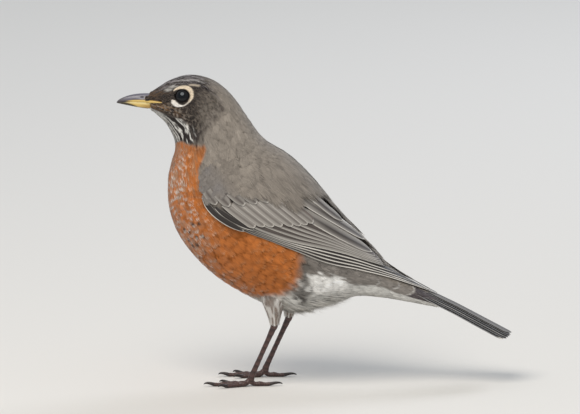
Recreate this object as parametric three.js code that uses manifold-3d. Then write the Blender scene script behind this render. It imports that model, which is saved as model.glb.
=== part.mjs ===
// American robin, standing and looking ahead, life size, as a still museum model.
//
// Millimetres, +Z up. The bird faces -X, its left side is towards -Y, its soles stand on z = 0, and the
// origin is on that floor, midway between the bill tip and the tail tip.
//
// Head, neck and trunk are one smooth plumage surface, parted by thin cuts. The surface is a loft: each
// station joins a point of the back's outline to a point of the belly's outline with an oval ring. The folded
// wings are curved plates laid on that surface, and the tail is a domed plate that carries on behind it.

import * as THREE from "three";
import { mergeVertices } from "three/addons/utils/BufferGeometryUtils.js";
import Module from "manifold-3d";

const wasm = await Module();
wasm.setup();

// ---------------------------------------------------------------- driving dimensions

const GAP = 0.3; // clear space between neighbouring pieces
const HALF_LENGTH = 102.9; // half of the way from the bill tip to the tail tip, measured level

// Rings of the plumage surface from the bill's base to the tail's base:
// back x, back z, belly x, belly z, half width, and how much wider the ring is above (+) or below (-).
const STATIONS = [
  [-86.5, 151.6, -85.7, 143.9, 3.8, 0], // 0 bill base
  [-81.5, 154.9, -81.8, 140.6, 6.4, -0.05],
  [-75.0, 158.9, -77.6, 136.6, 9.3, -0.1],
  [-66.5, 161.5, -74.4, 131.2, 11.5, -0.12], // 3 eyes
  [-57.5, 160.7, -72.7, 126.4, 12.7, -0.12],
  [-49.0, 156.6, -72.7, 121.6, 13.2, -0.1], // 5 nape and throat
  [-41.2, 148.8, -74.5, 115.8, 14.2, -0.06],
  [-34.0, 138.3, -76.4, 106.0, 16.6, 0], // 7 neck
  [-26.0, 127.2, -75.4, 90.0, 21.0, 0],
  [-15.0, 118.5, -68.5, 74.0, 26.0, 0], // 9 shoulders and breast
  [-3.5, 107.0, -53.0, 57.0, 29.5, 0],
  [8.0, 93.5, -32.0, 44.0, 30.0, 0], // 11 belly
  [18.5, 81.5, -12.0, 37.0, 27.5, 0],
  [28.5, 70.7, 5.0, 40.8, 23.0, 0], // 13 vent
  [38.0, 61.8, 21.0, 45.3, 18.5, 0],
  [47.0, 55.4, 35.0, 44.6, 15.0, 0], // 15 coverts of the tail
  [55.0, 50.6, 47.0, 42.6, 12.5, 0],
  [63.0, 46.4, 58.5, 40.4, 10.5, 0], // 17 tail base
];
const RING_SIDES = 28;
const RINGS_PER_STATION = 2.2;

// Where thin cuts part the plumage surface, by station.
const BODY_NODES = [
  ["head", 0, 5.3],
  ["neck", 5.3, 7.6],
  ["breast", 7.6, 10.3],
  ["belly", 10.3, 13.0],
  ["rump", 13.0, 17],
];

// Folded wing, laid on the plumage surface: station, angle of its lower edge and of its upper edge round
// the ring from the back, in degrees, and thickness of its feathers.
const WING = [
  [7.45, 109, 92, 0.7],
  [8.2, 108, 66, 1.7],
  [8.9, 109, 50, 2.2],
  [9.6, 98, 36, 2.3],
  [10.4, 87, 22, 2.3],
  [11.2, 79, 10, 2.4],
  [12.0, 72, 3.5, 2.6],
  [12.8, 65, 3, 2.3],
  [13.6, 58, 3, 2.0],
  [14.4, 50, 4, 1.9],
  [15.2, 42, 6, 1.7],
  [16.0, 34, 8, 1.4],
  [16.95, 24, 15, 0.9],
];
const WING_START = WING[0][0];
const WING_TIP = WING.at(-1)[0];
const WING_BED = 0.5; // from the plumage surface up to the underside of the wing
const WING_EDGE = 0.55; // thickness at the wing's rim
const COVERTS_END_TOP = 11.9; // station where the coverts end at the upper edge
const COVERTS_END_LOW = 9.2; // and at the lower edge
const TERTIALS_END = 13.45; // station of the longest tertial's tip
const ZONE_GAP = 0.05; // gap between coverts, tertials and primaries, in stations

// Bill: length runs from its base under the forehead to the tip.
const BILL_BASE_X = -86.9;
const BILL_TIP = [-HALF_LENGTH, 147.0];
const BILL_HALF_WIDTH = 3.5;
const CULMEN_BASE_Z = 151.7;
const GAPE_BASE_Z = 147.7;
const GONYS_BASE_Z = 144.1;

// Eyes: centre from the mid plane, and the ball that fills the socket.
const EYE = { x: -68.0, y: 6.5, z: 150.5, radius: 5.2 };

// Tail: the crest of its dome from the tail base to the tip.
const TAIL_BASE = [63.6, 46.9];
const TAIL_TIP = [HALF_LENGTH, 25.9];
const TAIL_HALF_WIDTH = [10.2, 12.6]; // at the base and near the tip
const TAIL_THICKNESS = [4.6, 2.9];
const TAIL_DOME = 2.2; // how far the sides lie below the crest

// Legs: the left one is half a step ahead of the right one.
const LEGS = [
  { side: "left", sign: -1, hip: [-21.5, 13, 50], ankle: [-20.8, 13.5, 31.8], ball: [-33.6, 14.4, 3.1] },
  { side: "right", sign: 1, hip: [-12, 13, 50], ankle: [-13.2, 13.5, 31.8], ball: [-26.2, 14.4, 3.1] },
];
const THIGH_RADII = [8.0, 6.4, 4.4, 2.7];
const ANKLE_RADIUS = 1.9;
const TARSUS_RADIUS = 1.35;
// Toes: heading from straight ahead in degrees (+ is outwards), length, base radius, claw length.
const TOES = [
  { name: "inner", heading: -24, length: 13.0, radius: 1.35, claw: 4.6 },
  { name: "middle", heading: 2, length: 19.0, radius: 1.4, claw: 5.2 },
  { name: "outer", heading: 27, length: 14.0, radius: 1.3, claw: 4.6 },
  { name: "hind", heading: 182, length: 10.5, radius: 1.4, claw: 6.6 },
];

// ---------------------------------------------------------------- materials

const finish = (color, roughness = 0.8) =>
  new THREE.MeshStandardMaterial({ color, roughness, metalness: 0 });
const MATERIALS = {
  head: finish(0x5a534b),
  neck: finish(0x857e76),
  breast: finish(0xa6602e),
  belly: finish(0xa6602e),
  rump: finish(0xb9bab4),
  coverts: finish(0x8e8983),
  flight: finish(0x6b645e, 0.6),
  tail: finish(0x4a4546, 0.55),
  billDark: finish(0x6f6a70, 0.35),
  billYellow: finish(0xc9a04a, 0.35),
  eye: finish(0x0c0a09, 0.05),
  thigh: finish(0x9d958c),
  leg: finish(0x4c3a36, 0.5),
  claw: finish(0x2a2322, 0.4),
};

// ---------------------------------------------------------------- curves and the plumage surface

// A row of a table at a fractional place along it, on a Catmull-Rom spline through the rows.
function alongTable(rows, place) {
  const last = rows.length - 1;
  const i = Math.min(Math.max(Math.floor(place), 0), last - 1);
  const t = place - i;
  const mirrored = (a, b) => a.map((v, k) => 2 * v - b[k]);
  const before = i > 0 ? rows[i - 1] : mirrored(rows[0], rows[1]);
  const after = i < last - 1 ? rows[i + 2] : mirrored(rows[last], rows[last - 1]);
  return rows[i].map((p1, k) => {
    const [p0, p2, p3] = [before[k], rows[i + 1][k], after[k]];
    const cubic = (3 * p1 - p0 - 3 * p2 + p3) * t ** 3;
    return 0.5 * (2 * p1 + (p2 - p0) * t + (2 * p0 - 5 * p1 + 4 * p2 - p3) * t * t + cubic);
  });
}

// A point of the plumage surface: station along the bird, angle round the ring from the back, and side -1 or 1.
function ringPoint(station, angle, side = 1) {
  const [bx, bz, vx, vz, halfWidth, fullness] = alongTable(STATIONS, station);
  const up = Math.cos(angle);
  return new THREE.Vector3(
    (bx + vx) / 2 + ((bx - vx) / 2) * up,
    side * halfWidth * Math.sin(angle) * (1 + fullness * up),
    (bz + vz) / 2 + ((bz - vz) / 2) * up,
  );
}

// The same point moved outwards by lift, square to the surface.
function surfacePoint(station, angle, side, lift) {
  const step = 1e-3;
  const along = ringPoint(station + step, angle, side).sub(ringPoint(station - step, angle, side));
  const around = ringPoint(station, angle + step, side).sub(ringPoint(station, angle - step, side));
  const outward = along.cross(around).normalize();
  return ringPoint(station, angle, side).addScaledVector(outward, side * lift);
}

// ---------------------------------------------------------------- closed meshes

function geometryFrom(points, triangles) {
  const geometry = new THREE.BufferGeometry();
  geometry.setAttribute(
    "position",
    new THREE.Float32BufferAttribute(
      points.flatMap((p) => p.toArray()),
      3,
    ),
  );
  geometry.setIndex(triangles.flat());
  return geometry;
}

// Rings joined into a tube, each end closed by a fan round its centre. Rings run anticlockwise seen from the
// first ring's end.
function tube(rings) {
  const sides = rings[0].length;
  const points = rings.flat();
  const triangles = [];
  for (let r = 0; r < rings.length - 1; r++)
    for (let k = 0; k < sides; k++) {
      const a = r * sides + k;
      const b = r * sides + ((k + 1) % sides);
      triangles.push([a, b, b + sides], [a, b + sides, a + sides]);
    }
  for (const [ring, first, turn] of [
    [rings[0], 0, 1],
    [rings.at(-1), (rings.length - 1) * sides, -1],
  ]) {
    const hub = points.length;
    points.push(ring.reduce((sum, p) => sum.add(p), new THREE.Vector3()).divideScalar(sides));
    for (let k = 0; k < sides; k++) {
      const edge = [first + k, first + ((k + 1) % sides)];
      triangles.push(turn > 0 ? [edge[1], edge[0], hub] : [edge[0], edge[1], hub]);
    }
  }
  return facingOut(geometryFrom(points, triangles));
}

// A closed plate between two grids of points of the same size, grid[row][column].
function plate(top, bottom) {
  const rows = top.length;
  const columns = top[0].length;
  const points = [...top.flat(), ...bottom.flat()];
  const under = rows * columns;
  const at = (r, c) => r * columns + c;
  const triangles = [];
  const quad = (a, b, c, d) => triangles.push([a, b, c], [a, c, d]);
  for (let r = 0; r < rows - 1; r++)
    for (let c = 0; c < columns - 1; c++) {
      quad(at(r, c), at(r + 1, c), at(r + 1, c + 1), at(r, c + 1));
      quad(under + at(r, c), under + at(r, c + 1), under + at(r + 1, c + 1), under + at(r + 1, c));
    }
  const rim = [
    ...Array.from({ length: columns - 1 }, (_, c) => [at(0, c), at(0, c + 1)]),
    ...Array.from({ length: rows - 1 }, (_, r) => [at(r, columns - 1), at(r + 1, columns - 1)]),
    ...Array.from({ length: columns - 1 }, (_, c) => [at(rows - 1, c + 1), at(rows - 1, c)]).reverse(),
    ...Array.from({ length: rows - 1 }, (_, r) => [at(r + 1, 0), at(r, 0)]).reverse(),
  ];
  for (const [a, b] of rim) quad(a, b, under + b, under + a);
  return facingOut(geometryFrom(points, triangles));
}

// Turns a closed mesh the right way out, by the sign of its volume.
function facingOut(geometry) {
  const p = geometry.getAttribute("position");
  const index = geometry.index.array;
  const corner = (k) => new THREE.Vector3().fromBufferAttribute(p, index[k]);
  let volume = 0;
  for (let k = 0; k < index.length; k += 3) volume += corner(k).dot(corner(k + 1).cross(corner(k + 2)));
  if (volume < 0)
    for (let k = 0; k < index.length; k += 3) [index[k], index[k + 1]] = [index[k + 1], index[k]];
  return geometry;
}

function solid(geometry) {
  const bare = geometry.index ? geometry.toNonIndexed() : geometry.clone();
  bare.deleteAttribute("normal");
  bare.deleteAttribute("uv");
  const merged = mergeVertices(bare, 1e-4);
  return new wasm.Manifold(
    new wasm.Mesh({
      numProp: 3,
      vertProperties: merged.getAttribute("position").array,
      triVerts: new Uint32Array(merged.index.array),
    }),
  );
}

function geometryOf(manifold) {
  const { vertProperties, triVerts } = manifold.getMesh();
  const geometry = new THREE.BufferGeometry();
  geometry.setAttribute("position", new THREE.BufferAttribute(vertProperties, 3));
  geometry.setIndex(new THREE.BufferAttribute(triVerts, 1));
  return geometry;
}

const bird = new THREE.Group();

function addMesh(name, geometry, material) {
  const mesh = new THREE.Mesh(geometry, material);
  mesh.name = name;
  bird.add(mesh);
}

// ---------------------------------------------------------------- head, neck and trunk

// The plumage surface between two stations, as a closed solid, swollen by lift.
function trunkLength(from, to, lift = 0) {
  const count = Math.max(3, Math.round((to - from) * RINGS_PER_STATION));
  const rings = [];
  for (let r = 0; r <= count; r++) {
    const station = from + ((to - from) * r) / count;
    rings.push(
      Array.from({ length: RING_SIDES }, (_, k) => {
        const angle = (2 * Math.PI * k) / RING_SIDES;
        return surfacePoint(station, angle, 1, lift);
      }),
    );
  }
  return tube(rings);
}

function eyeBall(side, swell = 0) {
  const ball = new THREE.SphereGeometry(EYE.radius + swell, 14, 9);
  ball.rotateX(Math.PI / 2);
  return ball.translate(EYE.x, side * EYE.y, EYE.z);
}

function addTrunk() {
  const halfCut = 0.022; // half of a thin cut, in stations
  for (const [name, from, to] of BODY_NODES) {
    const start = from === 0 ? from : from + halfCut;
    const end = to === 17 ? to : to - halfCut;
    let made = solid(trunkLength(start, end));
    if (name === "head")
      for (const side of [-1, 1]) made = made.subtract(solid(eyeBall(side, GAP)));
    addMesh(name, geometryOf(made), MATERIALS[name]);
  }
  for (const [name, side] of [
    ["left_eye", -1],
    ["right_eye", 1],
  ])
    addMesh(name, eyeBall(side), MATERIALS.eye);
}

// ---------------------------------------------------------------- bill

// Half of the bill: a loft of half ovals between the gape line and the ridge or keel, drooping to the tip.
// Its depth falls off as (1 - t^power)^roundness, t from 0 at the base to 1 at the tip.
function mandible(ridgeBaseZ, halfWidth, side, power, roundness) {
  const count = 10;
  const arc = 8;
  const tipSize = 0.12;
  const length = BILL_TIP[0] - BILL_BASE_X;
  const rings = [];
  for (let r = 0; r <= count; r++) {
    const t = r / count;
    const gapeZ = GAPE_BASE_Z + (BILL_TIP[1] - GAPE_BASE_Z) * t ** 2 + (side * GAP) / 2;
    const depth = (ridgeBaseZ - GAPE_BASE_Z) * (1 - t ** power) ** roundness + side * tipSize;
    const width = halfWidth * (1 - t) ** 0.8 + tipSize;
    rings.push(
      Array.from({ length: arc + 1 }, (_, k) => {
        const angle = (Math.PI * k) / arc;
        const [y, z] = [width * Math.cos(angle), gapeZ + depth * Math.sin(angle)];
        return new THREE.Vector3(BILL_BASE_X + length * t, y, z);
      }),
    );
  }
  return tube(rings);
}

function addBill() {
  addMesh("bill_upper", mandible(CULMEN_BASE_Z, BILL_HALF_WIDTH, 1, 2, 0.6), MATERIALS.billDark);
  addMesh("bill_lower", mandible(GONYS_BASE_Z, BILL_HALF_WIDTH - 0.3, -1, 1.5, 1), MATERIALS.billYellow);
}

// ---------------------------------------------------------------- wings

// Wing table at a station: the edges' angles in radians and the thickness.
function wingAt(station) {
  let i = WING.findIndex((row) => row[0] > station) - 1;
  if (i < 0) i = station < WING_START ? 0 : WING.length - 2;
  const t = (station - WING[i][0]) / (WING[i + 1][0] - WING[i][0]);
  const [, low, top, thickness] = alongTable(WING, i + t);
  return { low: THREE.MathUtils.degToRad(low), top: THREE.MathUtils.degToRad(top), thickness };
}

// A point above or under the wing: station, share q of the way from the upper to the lower edge, and how far
// in from the rim of its plate it is, from 0 to 1.
function wingPoint(station, q, side, inset, outer) {
  const { low, top, thickness } = wingAt(station);
  const angle = top + (low - top) * q;
  const rounded = Math.sqrt(Math.min(1, inset));
  const height = WING_BED + WING_EDGE + (thickness - WING_EDGE) * rounded;
  return surfacePoint(station, angle, side, outer ? height : WING_BED);
}

const coversEnd = (q) => COVERTS_END_TOP + (COVERTS_END_LOW - COVERTS_END_TOP) * q ** 0.8;
// Share of the wing's breadth that the tertials take at a station.
const tertialShare = (station) => 0.62 * Math.max(0, (TERTIALS_END - station) / (TERTIALS_END - 10.2)) ** 0.9;

// A wing plate from a function that turns (p along, r across) into [station, q].
function wingPlate(place, side, alongCount, acrossCount) {
  const grid = (outer) =>
    Array.from({ length: alongCount + 1 }, (_, i) =>
      Array.from({ length: acrossCount + 1 }, (_, j) => {
        const [p, r] = [i / alongCount, j / acrossCount];
        const [station, q] = place(p, r);
        const inset = 5 * Math.min(p, 1 - p, 1.2 * r, 1.2 * (1 - r));
        return wingPoint(station, q, side, inset, outer);
      }),
    );
  return plate(grid(true), grid(false));
}

function coverts(p, r) {
  return [WING_START + (coversEnd(r) - ZONE_GAP - WING_START) * p, r];
}

function tertials(p, r) {
  let station = 11;
  for (let turn = 0; turn < 12; turn++) {
    const start = coversEnd(r * tertialShare(station)) + ZONE_GAP;
    station = start + (TERTIALS_END - 0.1 - start) * p;
  }
  return [station, r * Math.max(0, tertialShare(station) - 0.015)];
}

function primaries(p, r) {
  const shareAt = (s) => {
    const top = tertialShare(s) + (s < TERTIALS_END ? 0.025 : 0);
    return top + (1 - top) * r;
  };
  let station = 11;
  for (let turn = 0; turn < 12; turn++) {
    const start = coversEnd(shareAt(station)) + ZONE_GAP;
    station = start + (WING_TIP - start) * p;
  }
  return [station, shareAt(station)];
}

function addWings() {
  for (const [name, side] of [
    ["left", -1],
    ["right", 1],
  ]) {
    addMesh(`${name}_wing_coverts`, wingPlate(coverts, side, 11, 10), MATERIALS.coverts);
    addMesh(`${name}_wing_tertials`, wingPlate(tertials, side, 9, 5), MATERIALS.flight);
    addMesh(`${name}_wing_primaries`, wingPlate(primaries, side, 17, 6), MATERIALS.flight);
  }
}

// ---------------------------------------------------------------- tail

function addTail() {
  const [alongCount, acrossCount] = [12, 8];
  const direction = new THREE.Vector2(TAIL_TIP[0] - TAIL_BASE[0], TAIL_TIP[1] - TAIL_BASE[1]);
  const length = direction.length();
  direction.normalize();
  const normal = new THREE.Vector2(-direction.y, direction.x);
  const grid = (under) =>
    Array.from({ length: alongCount + 1 }, (_, i) =>
      Array.from({ length: acrossCount + 1 }, (_, j) => {
        const across = (2 * j) / acrossCount - 1;
        const corner = 3.2 * Math.abs(across) ** 3; // rounded corners of the tail's end
        const t = i / alongCount;
        const reach = t * (length - corner);
        const [baseWidth, endWidth] = TAIL_HALF_WIDTH;
        const width = baseWidth + (endWidth - baseWidth) * Math.sin((Math.PI / 2) * t);
        const thickness = TAIL_THICKNESS[0] + (TAIL_THICKNESS[1] - TAIL_THICKNESS[0]) * t ** 0.6;
        const thinned = thickness * (t > 0.9 ? 1 - 6 * (t - 0.9) : 1);
        const height = -TAIL_DOME * across ** 2 - (under ? thinned : 0);
        return new THREE.Vector3(
          TAIL_BASE[0] + direction.x * reach + normal.x * height,
          across * width,
          TAIL_BASE[1] + direction.y * reach + normal.y * height,
        );
      }),
    );
  addMesh("tail", plate(grid(false), grid(true)), MATERIALS.tail);
}

// ---------------------------------------------------------------- legs

// A round limb along points with a radius at each, its rings square to the path. Nothing reaches below the floor.
function limb(points, radii, sides = 8) {
  const rings = points.map((p, i) => {
    const ahead = points[Math.min(i + 1, points.length - 1)];
    const behind = points[Math.max(i - 1, 0)];
    const tangent = ahead.clone().sub(behind).normalize();
    const level = Math.abs(tangent.z) < 0.8 ? new THREE.Vector3(0, 0, 1) : new THREE.Vector3(0, 1, 0);
    const sideways = tangent.clone().cross(level).normalize();
    const upwards = sideways.clone().cross(tangent);
    return Array.from({ length: sides }, (_, k) => {
      const angle = (2 * Math.PI * (k + 0.5)) / sides;
      const point = p
        .clone()
        .addScaledVector(sideways, radii[i] * Math.cos(angle))
        .addScaledVector(upwards, radii[i] * Math.sin(angle));
      point.z = Math.max(point.z, 0);
      return point;
    });
  });
  return tube(rings);
}

// One toe lying on the floor, with a pad under each joint, and its claw.
function toe(ball, sign, { heading, length, radius, claw }) {
  const angle = THREE.MathUtils.degToRad(heading);
  const ahead = new THREE.Vector3(-Math.cos(angle), sign * Math.sin(angle), 0);
  const start = new THREE.Vector3(ball.x, ball.y, 0);
  const count = 8;
  const points = [];
  const radii = [];
  for (let i = 0; i <= count; i++) {
    const t = i / count;
    const girth = radius * (1 - 0.22 * t) * (1 + 0.1 * Math.cos(t * 6 * Math.PI));
    const rise = (ball.z - radius) * (1 - Math.min(1, t * 3)) ** 2;
    const p = start.clone().addScaledVector(ahead, length * t);
    points.push(p.setZ(0.72 * girth + rise));
    radii.push(girth);
  }
  const hook = [];
  const hookRadii = [];
  for (let i = 0; i <= 5; i++) {
    const t = i / 5;
    const p = start.clone().addScaledVector(ahead, length + GAP + claw * Math.sin(t * 1.35));
    hook.push(p.setZ(0.95 + 1.0 * Math.sin(t * 2.6) - 0.62 * t));
    hookRadii.push(0.82 * (1 - t) + 0.28 * t);
  }
  return { toe: limb(points, radii), claw: limb(hook, hookRadii, 6) };
}

function addLeg({ side, sign, hip, ankle, ball }) {
  const at = ([x, y, z]) => new THREE.Vector3(x, sign * y, z);
  const [hipPoint, anklePoint, ballPoint] = [at(hip), at(ankle), at(ball)];
  const down = ballPoint.clone().sub(anklePoint).normalize();

  const thighEnd = anklePoint.clone().addScaledVector(down, -ANKLE_RADIUS - 2 * GAP);
  const thighPoints = THIGH_RADII.map((_, i) => hipPoint.clone().lerp(thighEnd, i / (THIGH_RADII.length - 1)));
  const thigh = solid(limb(thighPoints, THIGH_RADII, 14)).subtract(solid(trunkLength(9, 15, 2 * GAP)));
  const parts = thigh.decompose().sort((a, b) => b.volume() - a.volume());
  addMesh(`${side}_thigh`, geometryOf(parts[0]), MATERIALS.thigh);

  const stubTop = ballPoint.clone().addScaledVector(down, -2.4);
  const shankEnd = stubTop.clone().addScaledVector(down, -GAP);
  const shankTop = anklePoint.clone().addScaledVector(down, -ANKLE_RADIUS * 0.8);
  const shares = [0, 0.05, 0.12, 0.3, 0.6, 0.88, 1];
  const girths = [1.3, ANKLE_RADIUS, 1.6, TARSUS_RADIUS, 1.25, 1.4, 1.6];
  const shankPoints = shares.map((t) => shankTop.clone().lerp(shankEnd, t));
  addMesh(`${side}_shank`, limb(shankPoints, girths, 12), MATERIALS.leg);

  let foot = solid(limb([stubTop, ballPoint.clone().setZ(1.3)], [1.6, 1.75], 12));
  for (const spec of TOES) {
    const made = toe(ballPoint, sign, spec);
    foot = foot.add(solid(made.toe));
    addMesh(`${side}_claw_${spec.name}`, made.claw, MATERIALS.claw);
  }
  addMesh(`${side}_foot`, geometryOf(foot), MATERIALS.leg);
}

// ---------------------------------------------------------------- the bird

addTrunk();
addBill();
addWings();
addTail();
LEGS.forEach(addLeg);

export default bird;
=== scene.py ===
"""American robin, standing, as a life-size museum model: plumage, bill, eyes, legs and studio.

Laid out as a Blender add-on: each piece has its own operator, and main() runs them all in order. Sizes in
the functions are millimetres until mesh_piece() turns them to metres.
"""

import math

import bpy
import numpy as np
from bpy.props import FloatProperty, FloatVectorProperty, PointerProperty
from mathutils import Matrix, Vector


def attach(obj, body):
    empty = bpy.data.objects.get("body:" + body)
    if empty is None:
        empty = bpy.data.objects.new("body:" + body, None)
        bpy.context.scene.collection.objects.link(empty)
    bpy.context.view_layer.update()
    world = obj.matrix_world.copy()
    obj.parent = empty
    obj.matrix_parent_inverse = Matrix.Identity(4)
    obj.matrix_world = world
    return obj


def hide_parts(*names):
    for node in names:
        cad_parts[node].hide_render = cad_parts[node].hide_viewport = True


bl_info = {
    "name": "American Robin Model",
    "version": (1, 0, 0),
    "blender": (4, 5, 0),
    "location": "3D View > Sidebar > Robin",
    "description": "Builds the plumage, bill, eyes, legs and studio of a life-size robin model",
    "category": "Add Mesh",
}

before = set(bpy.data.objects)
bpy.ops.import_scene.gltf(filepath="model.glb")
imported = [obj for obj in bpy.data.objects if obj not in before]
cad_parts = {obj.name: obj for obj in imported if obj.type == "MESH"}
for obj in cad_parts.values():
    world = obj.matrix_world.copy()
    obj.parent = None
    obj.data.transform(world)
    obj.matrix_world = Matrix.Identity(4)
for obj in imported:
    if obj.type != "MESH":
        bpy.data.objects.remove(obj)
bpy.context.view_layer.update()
MM = 0.001


def linear(hex_colour):
    """sRGB hex such as #a6602e to linear red, green and blue."""
    srgb = np.array([int(hex_colour[i : i + 2], 16) for i in (1, 3, 5)]) / 255
    return tuple(np.where(srgb <= 0.04045, srgb / 12.92, ((srgb + 0.055) / 1.055) ** 2.4))


def shade(hex_colour):
    """The same as an array, for mixing."""
    return np.array(linear(hex_colour))


# ------------------------------------------------------------------ driving dimensions, shared with the solids

# Rings of the plumage surface from the bill's base to the tail's base:
# back x, back z, belly x, belly z, half width, and how much wider the ring is above (+) or below (-).
STATIONS = np.array(
    [
        [-86.5, 151.6, -85.7, 143.9, 3.8, 0],  # 0 bill base
        [-81.5, 154.9, -81.8, 140.6, 6.4, -0.05],
        [-75.0, 158.9, -77.6, 136.6, 9.3, -0.1],
        [-66.5, 161.5, -74.4, 131.2, 11.5, -0.12],  # 3 eyes
        [-57.5, 160.7, -72.7, 126.4, 12.7, -0.12],
        [-49.0, 156.6, -72.7, 121.6, 13.2, -0.1],  # 5 nape and throat
        [-41.2, 148.8, -74.5, 115.8, 14.2, -0.06],
        [-34.0, 138.3, -76.4, 106.0, 16.6, 0],  # 7 neck
        [-26.0, 127.2, -75.4, 90.0, 21.0, 0],
        [-15.0, 118.5, -68.5, 74.0, 26.0, 0],  # 9 shoulders and breast
        [-3.5, 107.0, -53.0, 57.0, 29.5, 0],
        [8.0, 93.5, -32.0, 44.0, 30.0, 0],  # 11 belly
        [18.5, 81.5, -12.0, 37.0, 27.5, 0],
        [28.5, 70.7, 5.0, 40.8, 23.0, 0],  # 13 vent
        [38.0, 61.8, 21.0, 45.3, 18.5, 0],
        [47.0, 55.4, 35.0, 44.6, 15.0, 0],  # 15 coverts of the tail
        [55.0, 50.6, 47.0, 42.6, 12.5, 0],
        [63.0, 46.4, 58.5, 40.4, 10.5, 0],  # 17 tail base
    ]
)
LAST = len(STATIONS) - 1


def loft(s):
    """Rows of STATIONS at fractional places s, and their rates of change, on a Catmull-Rom spline."""
    ends = [2 * STATIONS[0] - STATIONS[1]], [2 * STATIONS[-1] - STATIONS[-2]]
    rows = np.vstack([ends[0], STATIONS, ends[1]])
    s = np.asarray(s, float)
    i = np.clip(np.floor(s).astype(int), 0, LAST - 1)
    t = (s - i)[..., None]
    p0, p1, p2, p3 = rows[i], rows[i + 1], rows[i + 2], rows[i + 3]
    b, c, d = p2 - p0, 2 * p0 - 5 * p1 + 4 * p2 - p3, 3 * p1 - p0 - 3 * p2 + p3
    return 0.5 * (2 * p1 + b * t + c * t**2 + d * t**3), 0.5 * (b + 2 * c * t + 3 * d * t**2)


def surface(s, a, lift=0.0):
    """Point of the plumage surface at station s and angle a round the ring, moved lift along its normal.

    Each ring is x, z = middle + half * cos a and y = width * sin a * (1 + fullness * cos a), with a from the
    back and negative on the bird's left. Returns points, normals, and the rates of change along s and a.
    """
    r, dr = loft(s)
    cos, sin = np.cos(a), np.sin(a)
    mid_x, mid_z = (r[..., 0] + r[..., 2]) / 2, (r[..., 1] + r[..., 3]) / 2
    half_x, half_z = (r[..., 0] - r[..., 2]) / 2, (r[..., 1] - r[..., 3]) / 2
    dmid_x, dmid_z = (dr[..., 0] + dr[..., 2]) / 2, (dr[..., 1] + dr[..., 3]) / 2
    dhalf_x, dhalf_z = (dr[..., 0] - dr[..., 2]) / 2, (dr[..., 1] - dr[..., 3]) / 2
    w, g, dw, dg = r[..., 4], r[..., 5], dr[..., 4], dr[..., 5]
    point = np.stack([mid_x + half_x * cos, w * sin * (1 + g * cos), mid_z + half_z * cos], -1)
    side_rate = dw * sin * (1 + g * cos) + w * sin * dg * cos
    along = np.stack([dmid_x + dhalf_x * cos, side_rate, dmid_z + dhalf_z * cos], -1)
    around = np.stack([-half_x * sin, w * (cos + g * np.cos(2 * a)), -half_z * sin], -1)
    normal = unit(np.cross(along, around))
    return point + normal * np.asarray(lift)[..., None], normal, along, around


def unit(v):
    """Vectors made one long."""
    return v / (np.linalg.norm(v, axis=-1, keepdims=True) + 1e-12)


def dot(a, b):
    """Dot products along the last axis."""
    return (a * b).sum(-1)


def slide(s, a, offset, along, around):
    """The (s, a) reached from s, a by a small step offset in mm along the surface."""
    e, f, g = dot(along, along), dot(along, around), dot(around, around)
    p, q = dot(offset, along), dot(offset, around)
    det = e * g - f * f
    return s + (g * p - f * q) / det, a + (e * q - f * p) / det


# ------------------------------------------------------------------ small numeric helpers


def ramp(x, low, high):
    """Smooth step from 0 at low to 1 at high."""
    t = np.clip((x - low) / (high - low), 0, 1)
    return t * t * (3 - 2 * t)


def between(x, low, high, soft):
    """1 from low to high and 0 outside, with both borders soft to either side."""
    return ramp(x, low - soft, low + soft) * (1 - ramp(x, high - soft, high + soft))


def spot(s, angle, at, size):
    """A soft round patch centred on at, with half sizes size, in stations and degrees."""
    return np.exp(-(((s - at[0]) / size[0]) ** 2 + ((angle - at[1]) / size[1]) ** 2))


def mix(a, b, share):
    """Colour a where share is 0, b where it is 1, and a straight blend between."""
    share = np.asarray(share)[..., None]
    return a * (1 - share) + b * share


GRAIN_CELLS = 64
GRAIN = np.random.default_rng(7).random((4, GRAIN_CELLS, GRAIN_CELLS))


def grain(x, y, layer=0):
    """Smooth noise from 0 to 1: random values at whole x and y, blended between by the smooth step."""
    table = GRAIN[layer]
    i, j = np.floor(x).astype(int), np.floor(y).astype(int)
    u, v = ramp(x - i, 0, 1), ramp(y - j, 0, 1)
    i0, i1, j0, j1 = (k % GRAIN_CELLS for k in (i, i + 1, j, j + 1))
    low = table[i0, j0] * (1 - u) + table[i1, j0] * u
    high = table[i0, j1] * (1 - u) + table[i1, j1] * u
    return low * (1 - v) + high * v


# ------------------------------------------------------------------ properties


def colour_property(name, description, hex_colour):
    """A colour setting whose default is given in hex."""
    return FloatVectorProperty(
        name=name, description=description, subtype="COLOR", size=3, min=0, max=1, default=linear(hex_colour)
    )


class RobinColours(bpy.types.PropertyGroup):
    breast: colour_property("Breast", "Brick orange of breast and belly", "#b0662c")
    back: colour_property("Back", "Brownish grey of nape and mantle", "#857d74")
    crown: colour_property("Crown", "Blackish centres of the head's feathers", "#272120")
    white: colour_property("White", "White of throat stripes, eye ring and vent", "#dad8d3")
    wing: colour_property("Wing", "Grey outer webs of the wing feathers", "#96918b")
    quill: colour_property("Quill", "Dark inner webs of wing and tail feathers", "#463f3b")
    fringe: colour_property("Fringe", "Pale rims of the wing feathers", "#d0cbc3")
    bill: colour_property("Bill", "Yellow of the lower mandible", "#dfbf6e")
    legs: colour_property("Legs", "Dark horny skin of the legs", "#4a3430")


class RobinSizes(bpy.types.PropertyGroup):
    head_coat: FloatProperty(
        name="Head coat", description="Depth of the feathers on the head", default=1.0 * MM, min=0, unit="LENGTH"
    )
    body_coat: FloatProperty(
        name="Body coat", description="Depth of the feathers on the trunk", default=0.9 * MM, min=0, unit="LENGTH"
    )


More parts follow.
